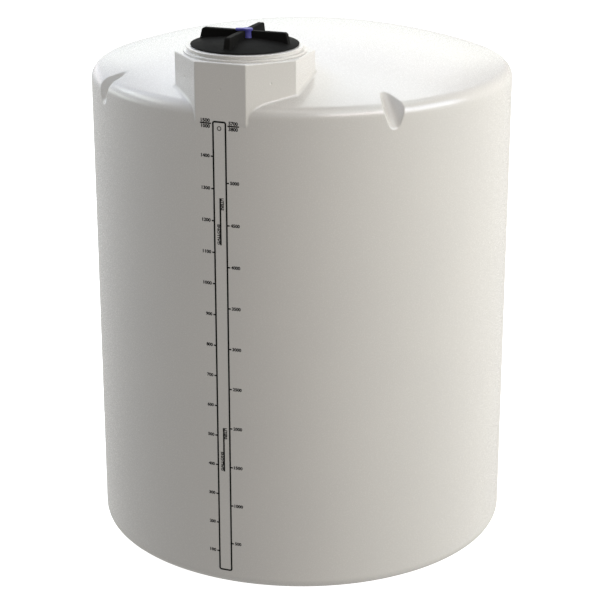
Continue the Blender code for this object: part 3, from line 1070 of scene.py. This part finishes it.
# Neck: the recess between its lip and its foot, the thread inside it, and its roundness
NECK_RECESS = 0.0045
NECK_THREAD_DEPTH = 0.0022
NECK_THREAD_START = 0.002
NECK_THREAD_TURNS = 1.8
NECK_STEPS = 160
RING_STEPS = 128
SEAL_WIDTH = 0.0115
SEAL_ROUND = 0.0011

# Lid: its rough mesh, its skirt's wall and thread, and the ribs under its plate
LID_VOXEL = 0.0042
LID_PASSES = ((math.radians(14.0), 0.0020), (math.radians(14.0), 0.0012))
SKIRT_WALL = 0.008
SKIRT_ROUND = 0.0015
SKIRT_THREAD_DEPTH = 0.0026
SKIRT_THREAD_START = 0.004
SKIRT_THREAD_TURNS = 3.6
RIB_COUNT = 8
RIB_GAP = 0.040
RIB_SHIFT = 0.016
RIB_WIDTH = 0.005
RIB_HEIGHT = 0.0034
RIB_DROP = 0.0020
RIB_BEVEL = 0.0008

# Vent: its round cap and the arm on it
VENT_STEPS = 64
CAP_RADIUS = 0.0210
CAP_STEPS = 40
CAP_RIM = 0.0045
CAP_DISH = 0.0012
CAP_BEVEL = 0.0020
ARM_HALF = 0.0100
ARM_REACH = 0.0400
ARM_TURN = math.radians(200.0)
ARM_STEPS = 12


def thread_ridge(root, crest, low, turns):
    """Helical ridge between a root and a crest radius, fading out at both ends."""
    bm = bmesh.new()
    into = math.copysign(THREAD_ROOT, root - crest)
    outline = [(root + into, 0.0), (crest, (THREAD_BASE - THREAD_CREST) / 2.0),
               (crest, (THREAD_BASE + THREAD_CREST) / 2.0), (root + into, THREAD_BASE)]
    face = bm.faces.new([bm.verts.new((r, 0.0, z)) for r, z in outline])
    bmesh.ops.spin(
        bm,
        geom=[face],
        cent=(0.0, 0.0, 0.0),
        axis=(0.0, 0.0, 1.0),
        dvec=(0.0, 0.0, THREAD_PITCH / THREAD_STEPS),
        angle=2.0 * math.pi * turns,
        steps=int(turns * THREAD_STEPS),
    )
    for vert in bm.verts:
        angle = math.atan2(vert.co.y, vert.co.x) / (2.0 * math.pi)
        along = angle + round((vert.co.z - THREAD_BASE / 2.0) / THREAD_PITCH - angle)
        fade = min(1.0, max(0.0, THREAD_FADE * min(along, turns - along)))
        radius = math.hypot(vert.co.x, vert.co.y)
        wanted = root + into + (radius - root - into) * fade
        vert.co.x *= wanted / radius
        vert.co.y *= wanted / radius
    bmesh.ops.translate(bm, verts=bm.verts, vec=(0.0, MANWAY_Y, low))
    bmesh.ops.recalc_face_normals(bm, faces=bm.faces)
    return bm


class TANK_OT_neck(bpy.types.Operator):
    """Add the threaded neck ring that stands on the collar."""

    bl_idname = "tank.neck"
    bl_label = "Neck Ring"

    def execute(self, context):
        outline = [
            (NECK_BORE, NECK_LOW),
            (NECK_FOOT, NECK_LOW),
            (NECK_FOOT, NECK_LOW + 0.0085),
            (NECK_OUTER - NECK_RECESS, NECK_LOW + 0.0095),
            (NECK_OUTER - NECK_RECESS, NECK_TOP - 0.0065),
            (NECK_OUTER, NECK_TOP - 0.0050),
            (NECK_OUTER, NECK_TOP),
            (NECK_BORE, NECK_TOP),
        ]
        radii = [0.0, 0.0, 0.0026, 0.0020, 0.0012, 0.0012, 0.0030, 0.0020]
        bm = spin_outline(round_corners(outline, radii), NECK_STEPS, centre=(0.0, MANWAY_Y))
        crest = NECK_BORE - NECK_THREAD_DEPTH
        start = NECK_LOW + NECK_THREAD_START
        add_bmesh(bm, thread_ridge(NECK_BORE, crest, start, NECK_THREAD_TURNS))
        neck = new_object("neck_collar", bm, shell_material(), math.radians(35.0))
        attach(neck, "tank")
        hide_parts("neck_ring")
        return {"FINISHED"}


class TANK_OT_seal(bpy.types.Operator):
    """Add the flat rubber seal between the neck and the lid."""

    bl_idname = "tank.seal"
    bl_label = "Lid Seal"

    def execute(self, context):
        outer = (SEAL_BOX[1][0] - SEAL_BOX[0][0]) / 2.0
        low, high = SEAL_BOX[0][2], SEAL_BOX[1][2]
        inner = outer - SEAL_WIDTH
        outline = [(inner, low), (outer, low), (outer, high), (inner, high)]
        rounded = round_corners(outline, [SEAL_ROUND] * 4)
        bm = spin_outline(rounded, RING_STEPS, centre=(0.0, MANWAY_Y))
        seal = new_object("seal_ring", bm, seal_material(), math.radians(40.0))
        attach(seal, "seal")
        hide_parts("lid_seal")
        return {"FINISHED"}


def rough_lid():
    """Rough solid of the plate and the crossing vanes, as an even quad mesh."""
    shoulder_r, shoulder_z = LidForm.shoulder
    outline = [
        (0.0, PLATE_LOW),
        (PLATE_RADIUS, PLATE_LOW),
        (PLATE_RADIUS, PLATE_LOW + LidForm.rim),
        (shoulder_r, PLATE_LOW + shoulder_z),
        (LidForm.crown, PLATE_LOW + CROWN_RISE),
        (0.0, PLATE_LOW + CROWN_RISE),
    ]
    bm = spin_outline(outline, ROUGH_STEPS, closed=False, centre=(0.0, MANWAY_Y))
    plate = new_object("rough_plate", bm)
    guides = []
    for turn in (0.0, math.pi / 2.0):
        bar = bmesh.new()
        bmesh.ops.create_cube(bar, size=1.0)
        size = (2.0 * VANE_END - 0.010, 2.0 * LidForm.vane_half, VANE_RISE - 0.004)
        bmesh.ops.scale(bar, verts=bar.verts, vec=size)
        bmesh.ops.translate(bar, verts=bar.verts, vec=(0.0, 0.0, VANE_RISE / 2.0 + 0.002))
        bmesh.ops.rotate(bar, verts=bar.verts, matrix=Matrix.Rotation(turn, 3, "Z"))
        bmesh.ops.translate(bar, verts=bar.verts, vec=(0.0, MANWAY_Y, PLATE_LOW))
        guides.append(new_object("rough_vane", bar))
        boolean(plate, guides[-1], "UNION")
    return even_bmesh(plate, guides, LID_VOXEL)


def plate_rib(outer, turn):
    """One rib under the plate, inside the skirt."""
    rib = bmesh.new()
    bmesh.ops.create_cube(rib, size=1.0)
    bmesh.ops.scale(rib, verts=rib.verts, vec=(outer - RIB_GAP, RIB_WIDTH, RIB_HEIGHT))
    bmesh.ops.bevel(
        rib,
        geom=rib.edges[:],
        offset=RIB_BEVEL,
        affect="EDGES",
        segments=2,
        profile=0.5,
        material=-1,
    )
    place = (outer / 2.0 + RIB_SHIFT, 0.0, PLATE_LOW - RIB_DROP)
    bmesh.ops.translate(rib, verts=rib.verts, vec=place)
    bmesh.ops.rotate(rib, verts=rib.verts, matrix=Matrix.Rotation(turn, 3, "Z"))
    bmesh.ops.translate(rib, verts=rib.verts, vec=(0.0, MANWAY_Y, 0.0))
    return rib


class TANK_OT_lid(bpy.types.Operator):
    """Add the black screwed lid: plate, crossing vanes and threaded skirt."""

    bl_idname = "tank.lid"
    bl_label = "Screwed Lid"

    def execute(self, context):
        form = LidForm()
        bm = rough_lid()
        refined(bm, form, LID_PASSES)
        normals = unit_normals(form, vertex_array(bm))
        lid = new_object("lid_top", bm, lid_material())
        lid.data.shade_smooth()
        lid.data.normals_split_custom_set_from_vertices(normals.tolist())
        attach(lid, "lid")
        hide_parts("lid_plate", *["lid_vane_%d" % (index + 1) for index in range(4)])

        outer = (SKIRT_BOX[1][0] - SKIRT_BOX[0][0]) / 2.0
        inner = outer - SKIRT_WALL
        low, high = SKIRT_BOX[0][2], SKIRT_BOX[1][2]
        outline = [(inner, low), (outer, low), (outer, high), (inner, high)]
        rounded = round_corners(outline, [SKIRT_ROUND, SKIRT_ROUND, 0.0, 0.0])
        bm = spin_outline(rounded, RING_STEPS, centre=(0.0, MANWAY_Y))
        crest = outer + SKIRT_THREAD_DEPTH
        start = low + SKIRT_THREAD_START
        add_bmesh(bm, thread_ridge(outer, crest, start, SKIRT_THREAD_TURNS))
        for index in range(RIB_COUNT):
            add_bmesh(bm, plate_rib(outer, index * 2.0 * math.pi / RIB_COUNT))
        skirt = new_object("lid_thread", bm, lid_material(), math.radians(35.0))
        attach(skirt, "lid")
        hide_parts("lid_skirt")
        return {"FINISHED"}


class TANK_OT_vent(bpy.types.Operator):
    """Add the violet vent with its flared stem and its cap with one arm."""

    bl_idname = "tank.vent"
    bl_label = "Vent"

    def execute(self, context):
        centre = tuple((STEM_BOX[0][axis] + STEM_BOX[1][axis]) / 2.0 for axis in (0, 1))
        low, high = PLATE_LOW + CROWN_RISE - 0.002, CAP_BOX[0][2] + 0.001
        outline = [
            (0.0, low),
            (0.0215, low),
            (0.0205, low + 0.004),
            (0.0186, low + 0.010),
            (0.0180, high - 0.004),
            (0.0186, high),
            (0.0, high),
        ]
        bm = spin_outline(outline, VENT_STEPS, closed=False, centre=centre)
        add_bmesh(bm, vent_cap(centre))
        vent = new_object("vent_top", bm, vent_material(), math.radians(30.0))
        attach(vent, "lid")
        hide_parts("vent_stem", "vent_cap")
        return {"FINISHED"}


def vent_cap(centre):
    """Round cap with one round-ended arm, a shallow dish in its top and softened edges."""
    opening = math.asin(ARM_HALF / CAP_RADIUS)
    outline = []
    for step in range(CAP_STEPS + 1):
        turn = opening + (2.0 * math.pi - 2.0 * opening) * step / CAP_STEPS
        outline.append(polar(CAP_RADIUS, turn))
    for step in range(ARM_STEPS + 1):
        point = polar(ARM_HALF, -math.pi / 2.0 + math.pi * step / ARM_STEPS)
        outline.append(Vector((point.x + ARM_REACH, point.y, 0.0)))
    placed = [Matrix.Rotation(ARM_TURN, 3, "Z") @ point for point in outline]
    bm = prism([(p.x + centre[0], p.y + centre[1]) for p in placed], CAP_BOX[0][2], CAP_BOX[1][2])
    top = [face for face in bm.faces if face.normal.z > 0.9]
    bmesh.ops.inset_region(bm, faces=top, thickness=CAP_RIM, depth=0.0)
    bmesh.ops.translate(bm, verts=top[0].verts, vec=(0.0, 0.0, -CAP_DISH))
    steep = math.radians(60.0)
    rims = [e for e in bm.edges if len(e.link_faces) == 2 and e.calc_face_angle(0.0) > steep]
    bmesh.ops.bevel(
        bm, geom=rims, offset=CAP_BEVEL, affect="EDGES", segments=4, profile=0.5, material=-1
    )
    return bm


# Printed scale

GALLON = 0.0037854
SCALE_ZERO = 0.0209
SCALE_RISE = 0.36254
STRIP_LEFT = -0.0331
STRIP_RIGHT = 0.0222
STRIP_LOW = 0.071
STRIP_HIGH = 2.088
LINE = 0.0072
TICK_LENGTH = 0.0086
TICK_LINE = 0.0058
DIGIT_HEIGHT = 0.0150
DIGIT_WIDTH = 0.0098
DIGIT_GAP = 0.0050
UNIT_TOPS = (1.7675, 0.7450)
INK_FRONT = 0.0004
INK_BACK = -0.0002
PRINT_MERGE = 0.00003
LETTER_WEIGHT = 0.036
STRIP_CORNER = 0.0070
STRIP_CUTS = (12, 40)
CORNER_STEPS = 6
TICK_OVERLAP = 0.001
DIGIT_MIDDLE = 0.42

# The two totals at the top: a bar with a number over and one under it
TOTAL_OUT = 0.0300
TOTAL_BAR = 0.0250
TOTAL_BAR_STEPS = 12
TOTAL_HALF = 0.0200
TOTAL_WIDTH = 0.0400
TOTAL_HEIGHT = 0.0160
TOTAL_OVER = 0.0040
TOTAL_UNDER = 0.0200
LITRES_DROP = 0.006

# The ring in the strip's top, and the units' words beside their bars
RING_DROP = 0.0270
RING_RADIUS = 0.0095
RING_LINE = 0.0030
RING_SEGMENTS = 40
UNIT_BAR = 0.2025
UNIT_BAR_STEPS = 8
UNIT_GAP = 0.0040
UNIT_HEIGHT = 0.0115
LITRES_LENGTH = 0.0515
GALLONS_LENGTH = 0.0890
GALLONS_DROP = 0.2010

# Cuts over the height where the print bends onto the collar
BEND_LOW = 2.030
BEND_STEP = 0.003
BEND_CUTS = 24


def strip(bm, left, low, right, high, steps=1):
    """Flat printed bar between two corners, ready to bend in its length."""
    segments = (steps, 1) if right - left > high - low else (1, steps)
    made = bmesh.ops.create_grid(bm, x_segments=segments[0], y_segments=segments[1], size=0.5)
    bmesh.ops.scale(bm, verts=made["verts"], vec=(right - left, high - low, 1.0))
    middle = ((left + right) / 2.0, (low + high) / 2.0, 0.0)
    bmesh.ops.translate(bm, verts=made["verts"], vec=middle)


def words(bm, text, left, low, width, height, turn=0.0):
    """Flat lettering fitted into a box; a turn about the box's corner makes it run up or down."""
    curve = bpy.data.curves.new("lettering", "FONT")
    curve.body = text
    curve.offset = LETTER_WEIGHT
    curve.resolution_u = 3
    holder = bpy.data.objects.new("lettering", curve)
    bpy.context.collection.objects.link(holder)
    bpy.context.view_layer.update()
    graph = bpy.context.evaluated_depsgraph_get()
    mesh = bpy.data.meshes.new_from_object(holder.evaluated_get(graph))
    bpy.data.objects.remove(holder)
    bpy.data.curves.remove(curve)
    letters = bmesh.new()
    letters.from_mesh(mesh)
    bpy.data.meshes.remove(mesh)
    xs = [v.co.x for v in letters.verts]
    ys = [v.co.y for v in letters.verts]
    size = (max(xs) - min(xs), max(ys) - min(ys))
    bmesh.ops.translate(letters, verts=letters.verts, vec=(-min(xs), -min(ys), 0.0))
    bmesh.ops.scale(letters, verts=letters.verts, vec=(width / size[0], height / size[1], 1.0))
    bmesh.ops.rotate(letters, verts=letters.verts, matrix=Matrix.Rotation(turn, 3, "Z"))
    bmesh.ops.translate(letters, verts=letters.verts, vec=(left, low, 0.0))
    add_bmesh(bm, letters)


def rounded_frame(bm, left, low, right, high, radius, line):
    """Flat outline of a strip with round corners."""
    loops = []
    for grow in (line / 2.0, -line / 2.0):
        verts = []
        round_radius = radius + grow
        corners = ((right - radius, high - radius, 0.0), (left + radius, high - radius, 90.0),
                   (left + radius, low + radius, 180.0), (right - radius, low + radius, 270.0))
        for x, y, start in corners:
            for step in range(CORNER_STEPS + 1):
                angle = math.radians(start + 90.0 / CORNER_STEPS * step)
                verts.append(bm.verts.new((x + round_radius * math.cos(angle),
                                           y + round_radius * math.sin(angle), 0.0)))
        loops += [bm.edges.new((verts[i - 1], verts[i])) for i in range(len(verts))]
    bmesh.ops.bridge_loops(bm, edges=loops)
    across, up = STRIP_CUTS
    for step in range(1, across):
        cut_frame(bm, (left + (right - left) * step / across, 0.0, 0.0), (1.0, 0.0, 0.0))
    for step in range(1, up):
        cut_frame(bm, (0.0, low + (high - low) * step / up, 0.0), (0.0, 1.0, 0.0))


def cut_frame(bm, place, normal):
    """Split the flat faces at one plane, so that they can bend there."""
    everything = bm.verts[:] + bm.edges[:] + bm.faces[:]
    bmesh.ops.bisect_plane(bm, geom=everything, plane_co=place, plane_no=normal)


def ring(bm, x, y, radius, line):
    """Plain flat ring."""
    edges = []
    place = Matrix.Translation((x, y, 0.0))
    for size in (radius, radius - line):
        made = bmesh.ops.create_circle(bm, segments=RING_SEGMENTS, radius=size, matrix=place)
        edges += list({edge for vert in made["verts"] for edge in vert.link_edges})
    bmesh.ops.bridge_loops(bm, edges=edges)


def wrap_print(bm):
    """Give a flat print its thickness and lay it on the tank's surface."""
    bmesh.ops.dissolve_degenerate(bm, dist=PRINT_MERGE, edges=bm.edges[:])
    grown = bmesh.ops.extrude_face_region(bm, geom=bm.faces[:])
    front = [item for item in grown["geom"] if isinstance(item, bmesh.types.BMVert)]
    bmesh.ops.translate(bm, verts=front, vec=(0.0, 0.0, 1.0))
    flat = vertex_array(bm)
    form = TankForm(0.0, settings())
    offset = np.where(flat[:, 2] > 0.5, INK_FRONT, INK_BACK)
    surface = RADIUS - SHELL_SET_BACK
    angle = flat[:, 0] / surface
    away = np.stack([np.sin(angle), -np.cos(angle)], axis=1)
    reach = surface + offset
    for _ in range(4):
        places = np.column_stack([away * reach[:, None], flat[:, 1]])
        reach = reach - (form.distance(places) - offset)
    set_vertices(bm, np.column_stack([away * reach[:, None], flat[:, 1]]))
    bmesh.ops.recalc_face_normals(bm, faces=bm.faces)


def tick(bm, left, right, z, steps=1):
    """Level printed line at a height."""
    strip(bm, left, z - TICK_LINE / 2.0, right, z + TICK_LINE / 2.0, steps)


def total(bm, x, z, upper, lower):
    """Bar with one number over it and one under it."""
    tick(bm, x - TOTAL_BAR, x + TOTAL_BAR, z, TOTAL_BAR_STEPS)
    words(bm, upper, x - TOTAL_HALF, z + TOTAL_OVER, TOTAL_WIDTH, TOTAL_HEIGHT)
    words(bm, lower, x - TOTAL_HALF, z - TOTAL_UNDER, TOTAL_WIDTH, TOTAL_HEIGHT)


def level(gallons):
    """Height of the scale's mark for a volume in gallons."""
    return SCALE_ZERO + SCALE_RISE * gallons * GALLON


class TANK_OT_scale(bpy.types.Operator):
    """Print the capacity scale on the wall under the collar."""

    bl_idname = "tank.scale"
    bl_label = "Printed Scale"

    def execute(self, context):
        bm = bmesh.new()
        rounded_frame(bm, STRIP_LEFT, STRIP_LOW, STRIP_RIGHT, STRIP_HIGH, STRIP_CORNER, LINE)
        left_edge = STRIP_LEFT - LINE / 2.0
        right_edge = STRIP_RIGHT + LINE / 2.0
        for gallons in range(100, 1500, 100):
            z = level(gallons)
            tick(bm, left_edge - TICK_LENGTH, left_edge + TICK_OVERLAP, z)
            width = DIGIT_WIDTH * len(str(gallons))
            left = left_edge - TICK_LENGTH - DIGIT_GAP - width
            words(bm, str(gallons), left, z - DIGIT_HEIGHT * DIGIT_MIDDLE, width, DIGIT_HEIGHT)
        for litres in range(500, 5500, 500):
            z = SCALE_ZERO + SCALE_RISE * litres / 1000.0
            tick(bm, right_edge - TICK_OVERLAP, right_edge + TICK_LENGTH, z)
            width = DIGIT_WIDTH * len(str(litres))
            left = right_edge + TICK_LENGTH + DIGIT_GAP
            words(bm, str(litres), left, z - DIGIT_HEIGHT * DIGIT_MIDDLE, width, DIGIT_HEIGHT)
        total(bm, left_edge - TOTAL_OUT, level(1500), "1500", "1000")
        total(bm, right_edge + TOTAL_OUT, level(1500) - LITRES_DROP, "5700", "3800")
        middle = (STRIP_LEFT + STRIP_RIGHT) / 2.0
        ring(bm, middle, STRIP_HIGH - RING_DROP, RING_RADIUS, RING_LINE)
        for top in UNIT_TOPS:
            strip(bm, middle - LINE / 2.0, top - UNIT_BAR, middle + LINE / 2.0, top, UNIT_BAR_STEPS)
            words(bm, "LITERS", middle + UNIT_GAP, top, LITRES_LENGTH, UNIT_HEIGHT,
                  math.radians(-90.0))
            words(bm, "GALLONS", middle - UNIT_GAP, top - GALLONS_DROP, GALLONS_LENGTH, UNIT_HEIGHT,
                  math.radians(90.0))
        for step in range(BEND_CUTS):
            cut_frame(bm, (0.0, BEND_LOW + step * BEND_STEP, 0.0), (0.0, 1.0, 0.0))
        wrap_print(bm)
        ink = new_object("scale_print", bm, ink_material())
        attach(ink, "tank")
        return {"FINISHED"}


# Stage

FLOOR_REACH = 90.0
FLOOR_COLOUR = (0.93, 0.93, 0.93, 1.0)
FLOOR_GLOW = 0.95
WHITE = (1.0, 1.0, 1.0, 1.0)
SKY_LIGHT = (0.378, 0.370, 0.360, 1.0)
SKY_REFLECTED = (0.668, 0.657, 0.629, 1.0)
LIGHT_DISTANCE = 9.0
LIGHT_AIM = Vector((0.0, 0.0, 1.2))
HIGH_STRIP = 60.0
PANEL_SIZE = (5.0, 5.0)
STRIP_SIZE = (6.0, 1.8)
HIGH_STRIP_SIZE = (6.0, 3.0)

# Soft panels that light the form: azimuth from the camera to the right, elevation, power and colour
PANELS = (
    (50.0, 12.0, 179.0, (1.0, 0.856, 0.717)),
    (75.0, 12.0, 347.0, (0.947, 1.0, 0.970)),
    (125.0, 12.0, 418.0, (1.0, 0.947, 0.934)),
    (-125.0, 12.0, 136.0, (1.0, 0.912, 0.647)),
    (-125.0, 45.0, 447.0, (0.662, 0.786, 1.0)),
    (0.0, 88.0, 145.0, (1.0, 0.933, 0.913)),
)

# Strips that are only seen reflected, which draw the bright line along the shoulder
STRIPS = (
    (0.0, 36.0, 34.0, (0.680, 0.874, 1.0)),
    (0.0, 66.0, 99.0, (0.940, 1.0, 0.977)),
    (35.0, 36.0, 330.0, (1.0, 0.900, 0.932)),
    (35.0, 50.0, 150.0, (0.835, 0.937, 1.0)),
    (70.0, 24.0, 295.0, (0.839, 0.889, 1.0)),
    (70.0, 36.0, 200.0, (0.700, 0.820, 1.0)),
    (90.0, 66.0, 109.0, (0.776, 0.960, 1.0)),
    (180.0, 12.0, 25.0, (0.958, 1.0, 0.894)),
    (180.0, 24.0, 47.0, (0.977, 1.0, 0.913)),
    (180.0, 36.0, 62.0, (0.993, 0.997, 1.0)),
    (180.0, 50.0, 116.0, (0.949, 0.997, 1.0)),
    (180.0, 66.0, 155.0, (0.925, 1.0, 0.970)),
    (-105.0, 12.0, 75.0, (0.919, 1.0, 0.900)),
    (-105.0, 36.0, 139.0, (0.942, 1.0, 0.936)),
    (-140.0, 12.0, 40.0, (1.0, 0.921, 0.935)),
)


class TANK_OT_stage(bpy.types.Operator):
    """Add the floor, the soft lights and the camera of the photograph."""

    bl_idname = "tank.stage"
    bl_label = "Stage"

    def execute(self, context):
        bm = bmesh.new()
        bmesh.ops.create_circle(bm, cap_ends=True, segments=64, radius=FLOOR_REACH)
        floor_material = bpy.data.materials.new("studio_floor")
        floor_material.use_nodes = True
        shader = floor_material.node_tree.nodes["Principled BSDF"]
        shader.inputs["Base Color"].default_value = FLOOR_COLOUR
        shader.inputs["Roughness"].default_value = 0.85
        shader.inputs["Emission Color"].default_value = WHITE
        shader.inputs["Emission Strength"].default_value = FLOOR_GLOW
        floor = new_object("studio_floor", bm, floor_material)
        floor.visible_diffuse = False
        floor.visible_glossy = False

        world = bpy.data.worlds.new("studio")
        world.use_nodes = True
        tree = world.node_tree
        seen = node(tree, "ShaderNodeLightPath")
        lit = node(tree, "ShaderNodeMix",
                   {"Factor": seen.outputs["Is Glossy Ray"], MIX_A: SKY_LIGHT,
                    MIX_B: SKY_REFLECTED},
                   data_type="RGBA")
        shown = node(tree, "ShaderNodeMix",
                     {"Factor": seen.outputs["Is Camera Ray"], MIX_A: lit.outputs[MIX_RESULT],
                      MIX_B: WHITE},
                     data_type="RGBA")
        tree.links.new(shown.outputs[MIX_RESULT], tree.nodes["Background"].inputs["Color"])
        world.cycles.sampling_method = "NONE"
        context.scene.world = world

        for number, panel in enumerate(PANELS):
            light = add_light("panel_%d" % (number + 1), PANEL_SIZE, *panel)
            light.visible_glossy = False
        for number, strip_light in enumerate(STRIPS):
            size = HIGH_STRIP_SIZE if strip_light[1] > HIGH_STRIP else STRIP_SIZE
            light = add_light("strip_%d" % (number + 1), size, *strip_light)
            light.visible_diffuse = False

        camera = bpy.data.cameras.new("camera")
        camera.lens = CAMERA_LENS
        camera.sensor_width = CAMERA_SENSOR
        holder = bpy.data.objects.new("camera", camera)
        distance = CAMERA_DISTANCE * RADIUS
        holder.location = (
            distance * math.sin(CAMERA_AZIMUTH),
            -distance * math.cos(CAMERA_AZIMUTH),
            CAMERA_HEIGHT * RADIUS,
        )
        aim = Matrix.Rotation(CAMERA_AZIMUTH + CAMERA_TURN, 3, "Z")
        aim = aim @ Matrix.Rotation(math.pi / 2.0 - CAMERA_PITCH, 3, "X")
        holder.rotation_euler = (aim @ Matrix.Rotation(CAMERA_ROLL, 3, "Z")).to_euler()
        context.collection.objects.link(holder)
        context.scene.camera = holder
        context.scene.view_settings.view_transform = "Standard"
        return {"FINISHED"}


def add_light(name, size, azimuth, elevation, power, colour):
    """Add a soft oblong light, with its azimuth counted from the camera to the right."""
    lamp = bpy.data.lights.new(name, "AREA")
    lamp.shape = "RECTANGLE"
    lamp.size, lamp.size_y = size
    lamp.energy = power
    lamp.color = colour
    obj = bpy.data.objects.new(name, lamp)
    turn = CAMERA_AZIMUTH + math.radians(azimuth)
    rise = math.radians(elevation)
    place = Vector((
        LIGHT_DISTANCE * math.cos(rise) * math.sin(turn),
        -LIGHT_DISTANCE * math.cos(rise) * math.cos(turn),
        LIGHT_AIM.z + LIGHT_DISTANCE * math.sin(rise),
    ))
    obj.location = place
    obj.rotation_euler = (LIGHT_AIM - place).to_track_quat("-Z", "Y").to_euler()
    bpy.context.collection.objects.link(obj)
    return obj


class TANK_PT_panel(bpy.types.Panel):
    """Lists the tank's settings and pieces in the sidebar."""

    bl_idname = "TANK_PT_panel"
    bl_label = "Plastic Storage Tank"
    bl_space_type = "VIEW_3D"
    bl_region_type = "UI"
    bl_category = "Tank"

    def draw(self, context):
        for name in TankSettings.__annotations__:
            self.layout.prop(context.scene.tank_settings, name)
        for operator in OPERATORS:
            self.layout.operator(operator.bl_idname)


OPERATORS = (
    TANK_OT_shell,
    TANK_OT_neck,
    TANK_OT_seal,
    TANK_OT_lid,
    TANK_OT_vent,
    TANK_OT_scale,
    TANK_OT_stage,
)
CLASSES = (TankSettings, *OPERATORS, TANK_PT_panel)


def register():
    """Register the classes and the scene's settings."""
    for cls in CLASSES:
        bpy.utils.register_class(cls)
    bpy.types.Scene.tank_settings = PointerProperty(type=TankSettings)


def unregister():
    """Remove the settings and the classes again."""
    del bpy.types.Scene.tank_settings
    for cls in reversed(CLASSES):
        bpy.utils.unregister_class(cls)


def main():
    """Make every piece."""
    register()
    bpy.ops.tank.shell()
    bpy.ops.tank.neck()
    bpy.ops.tank.seal()
    bpy.ops.tank.lid()
    bpy.ops.tank.vent()
    bpy.ops.tank.scale()
    bpy.ops.tank.stage()


if __name__ == "__main__":
    main()
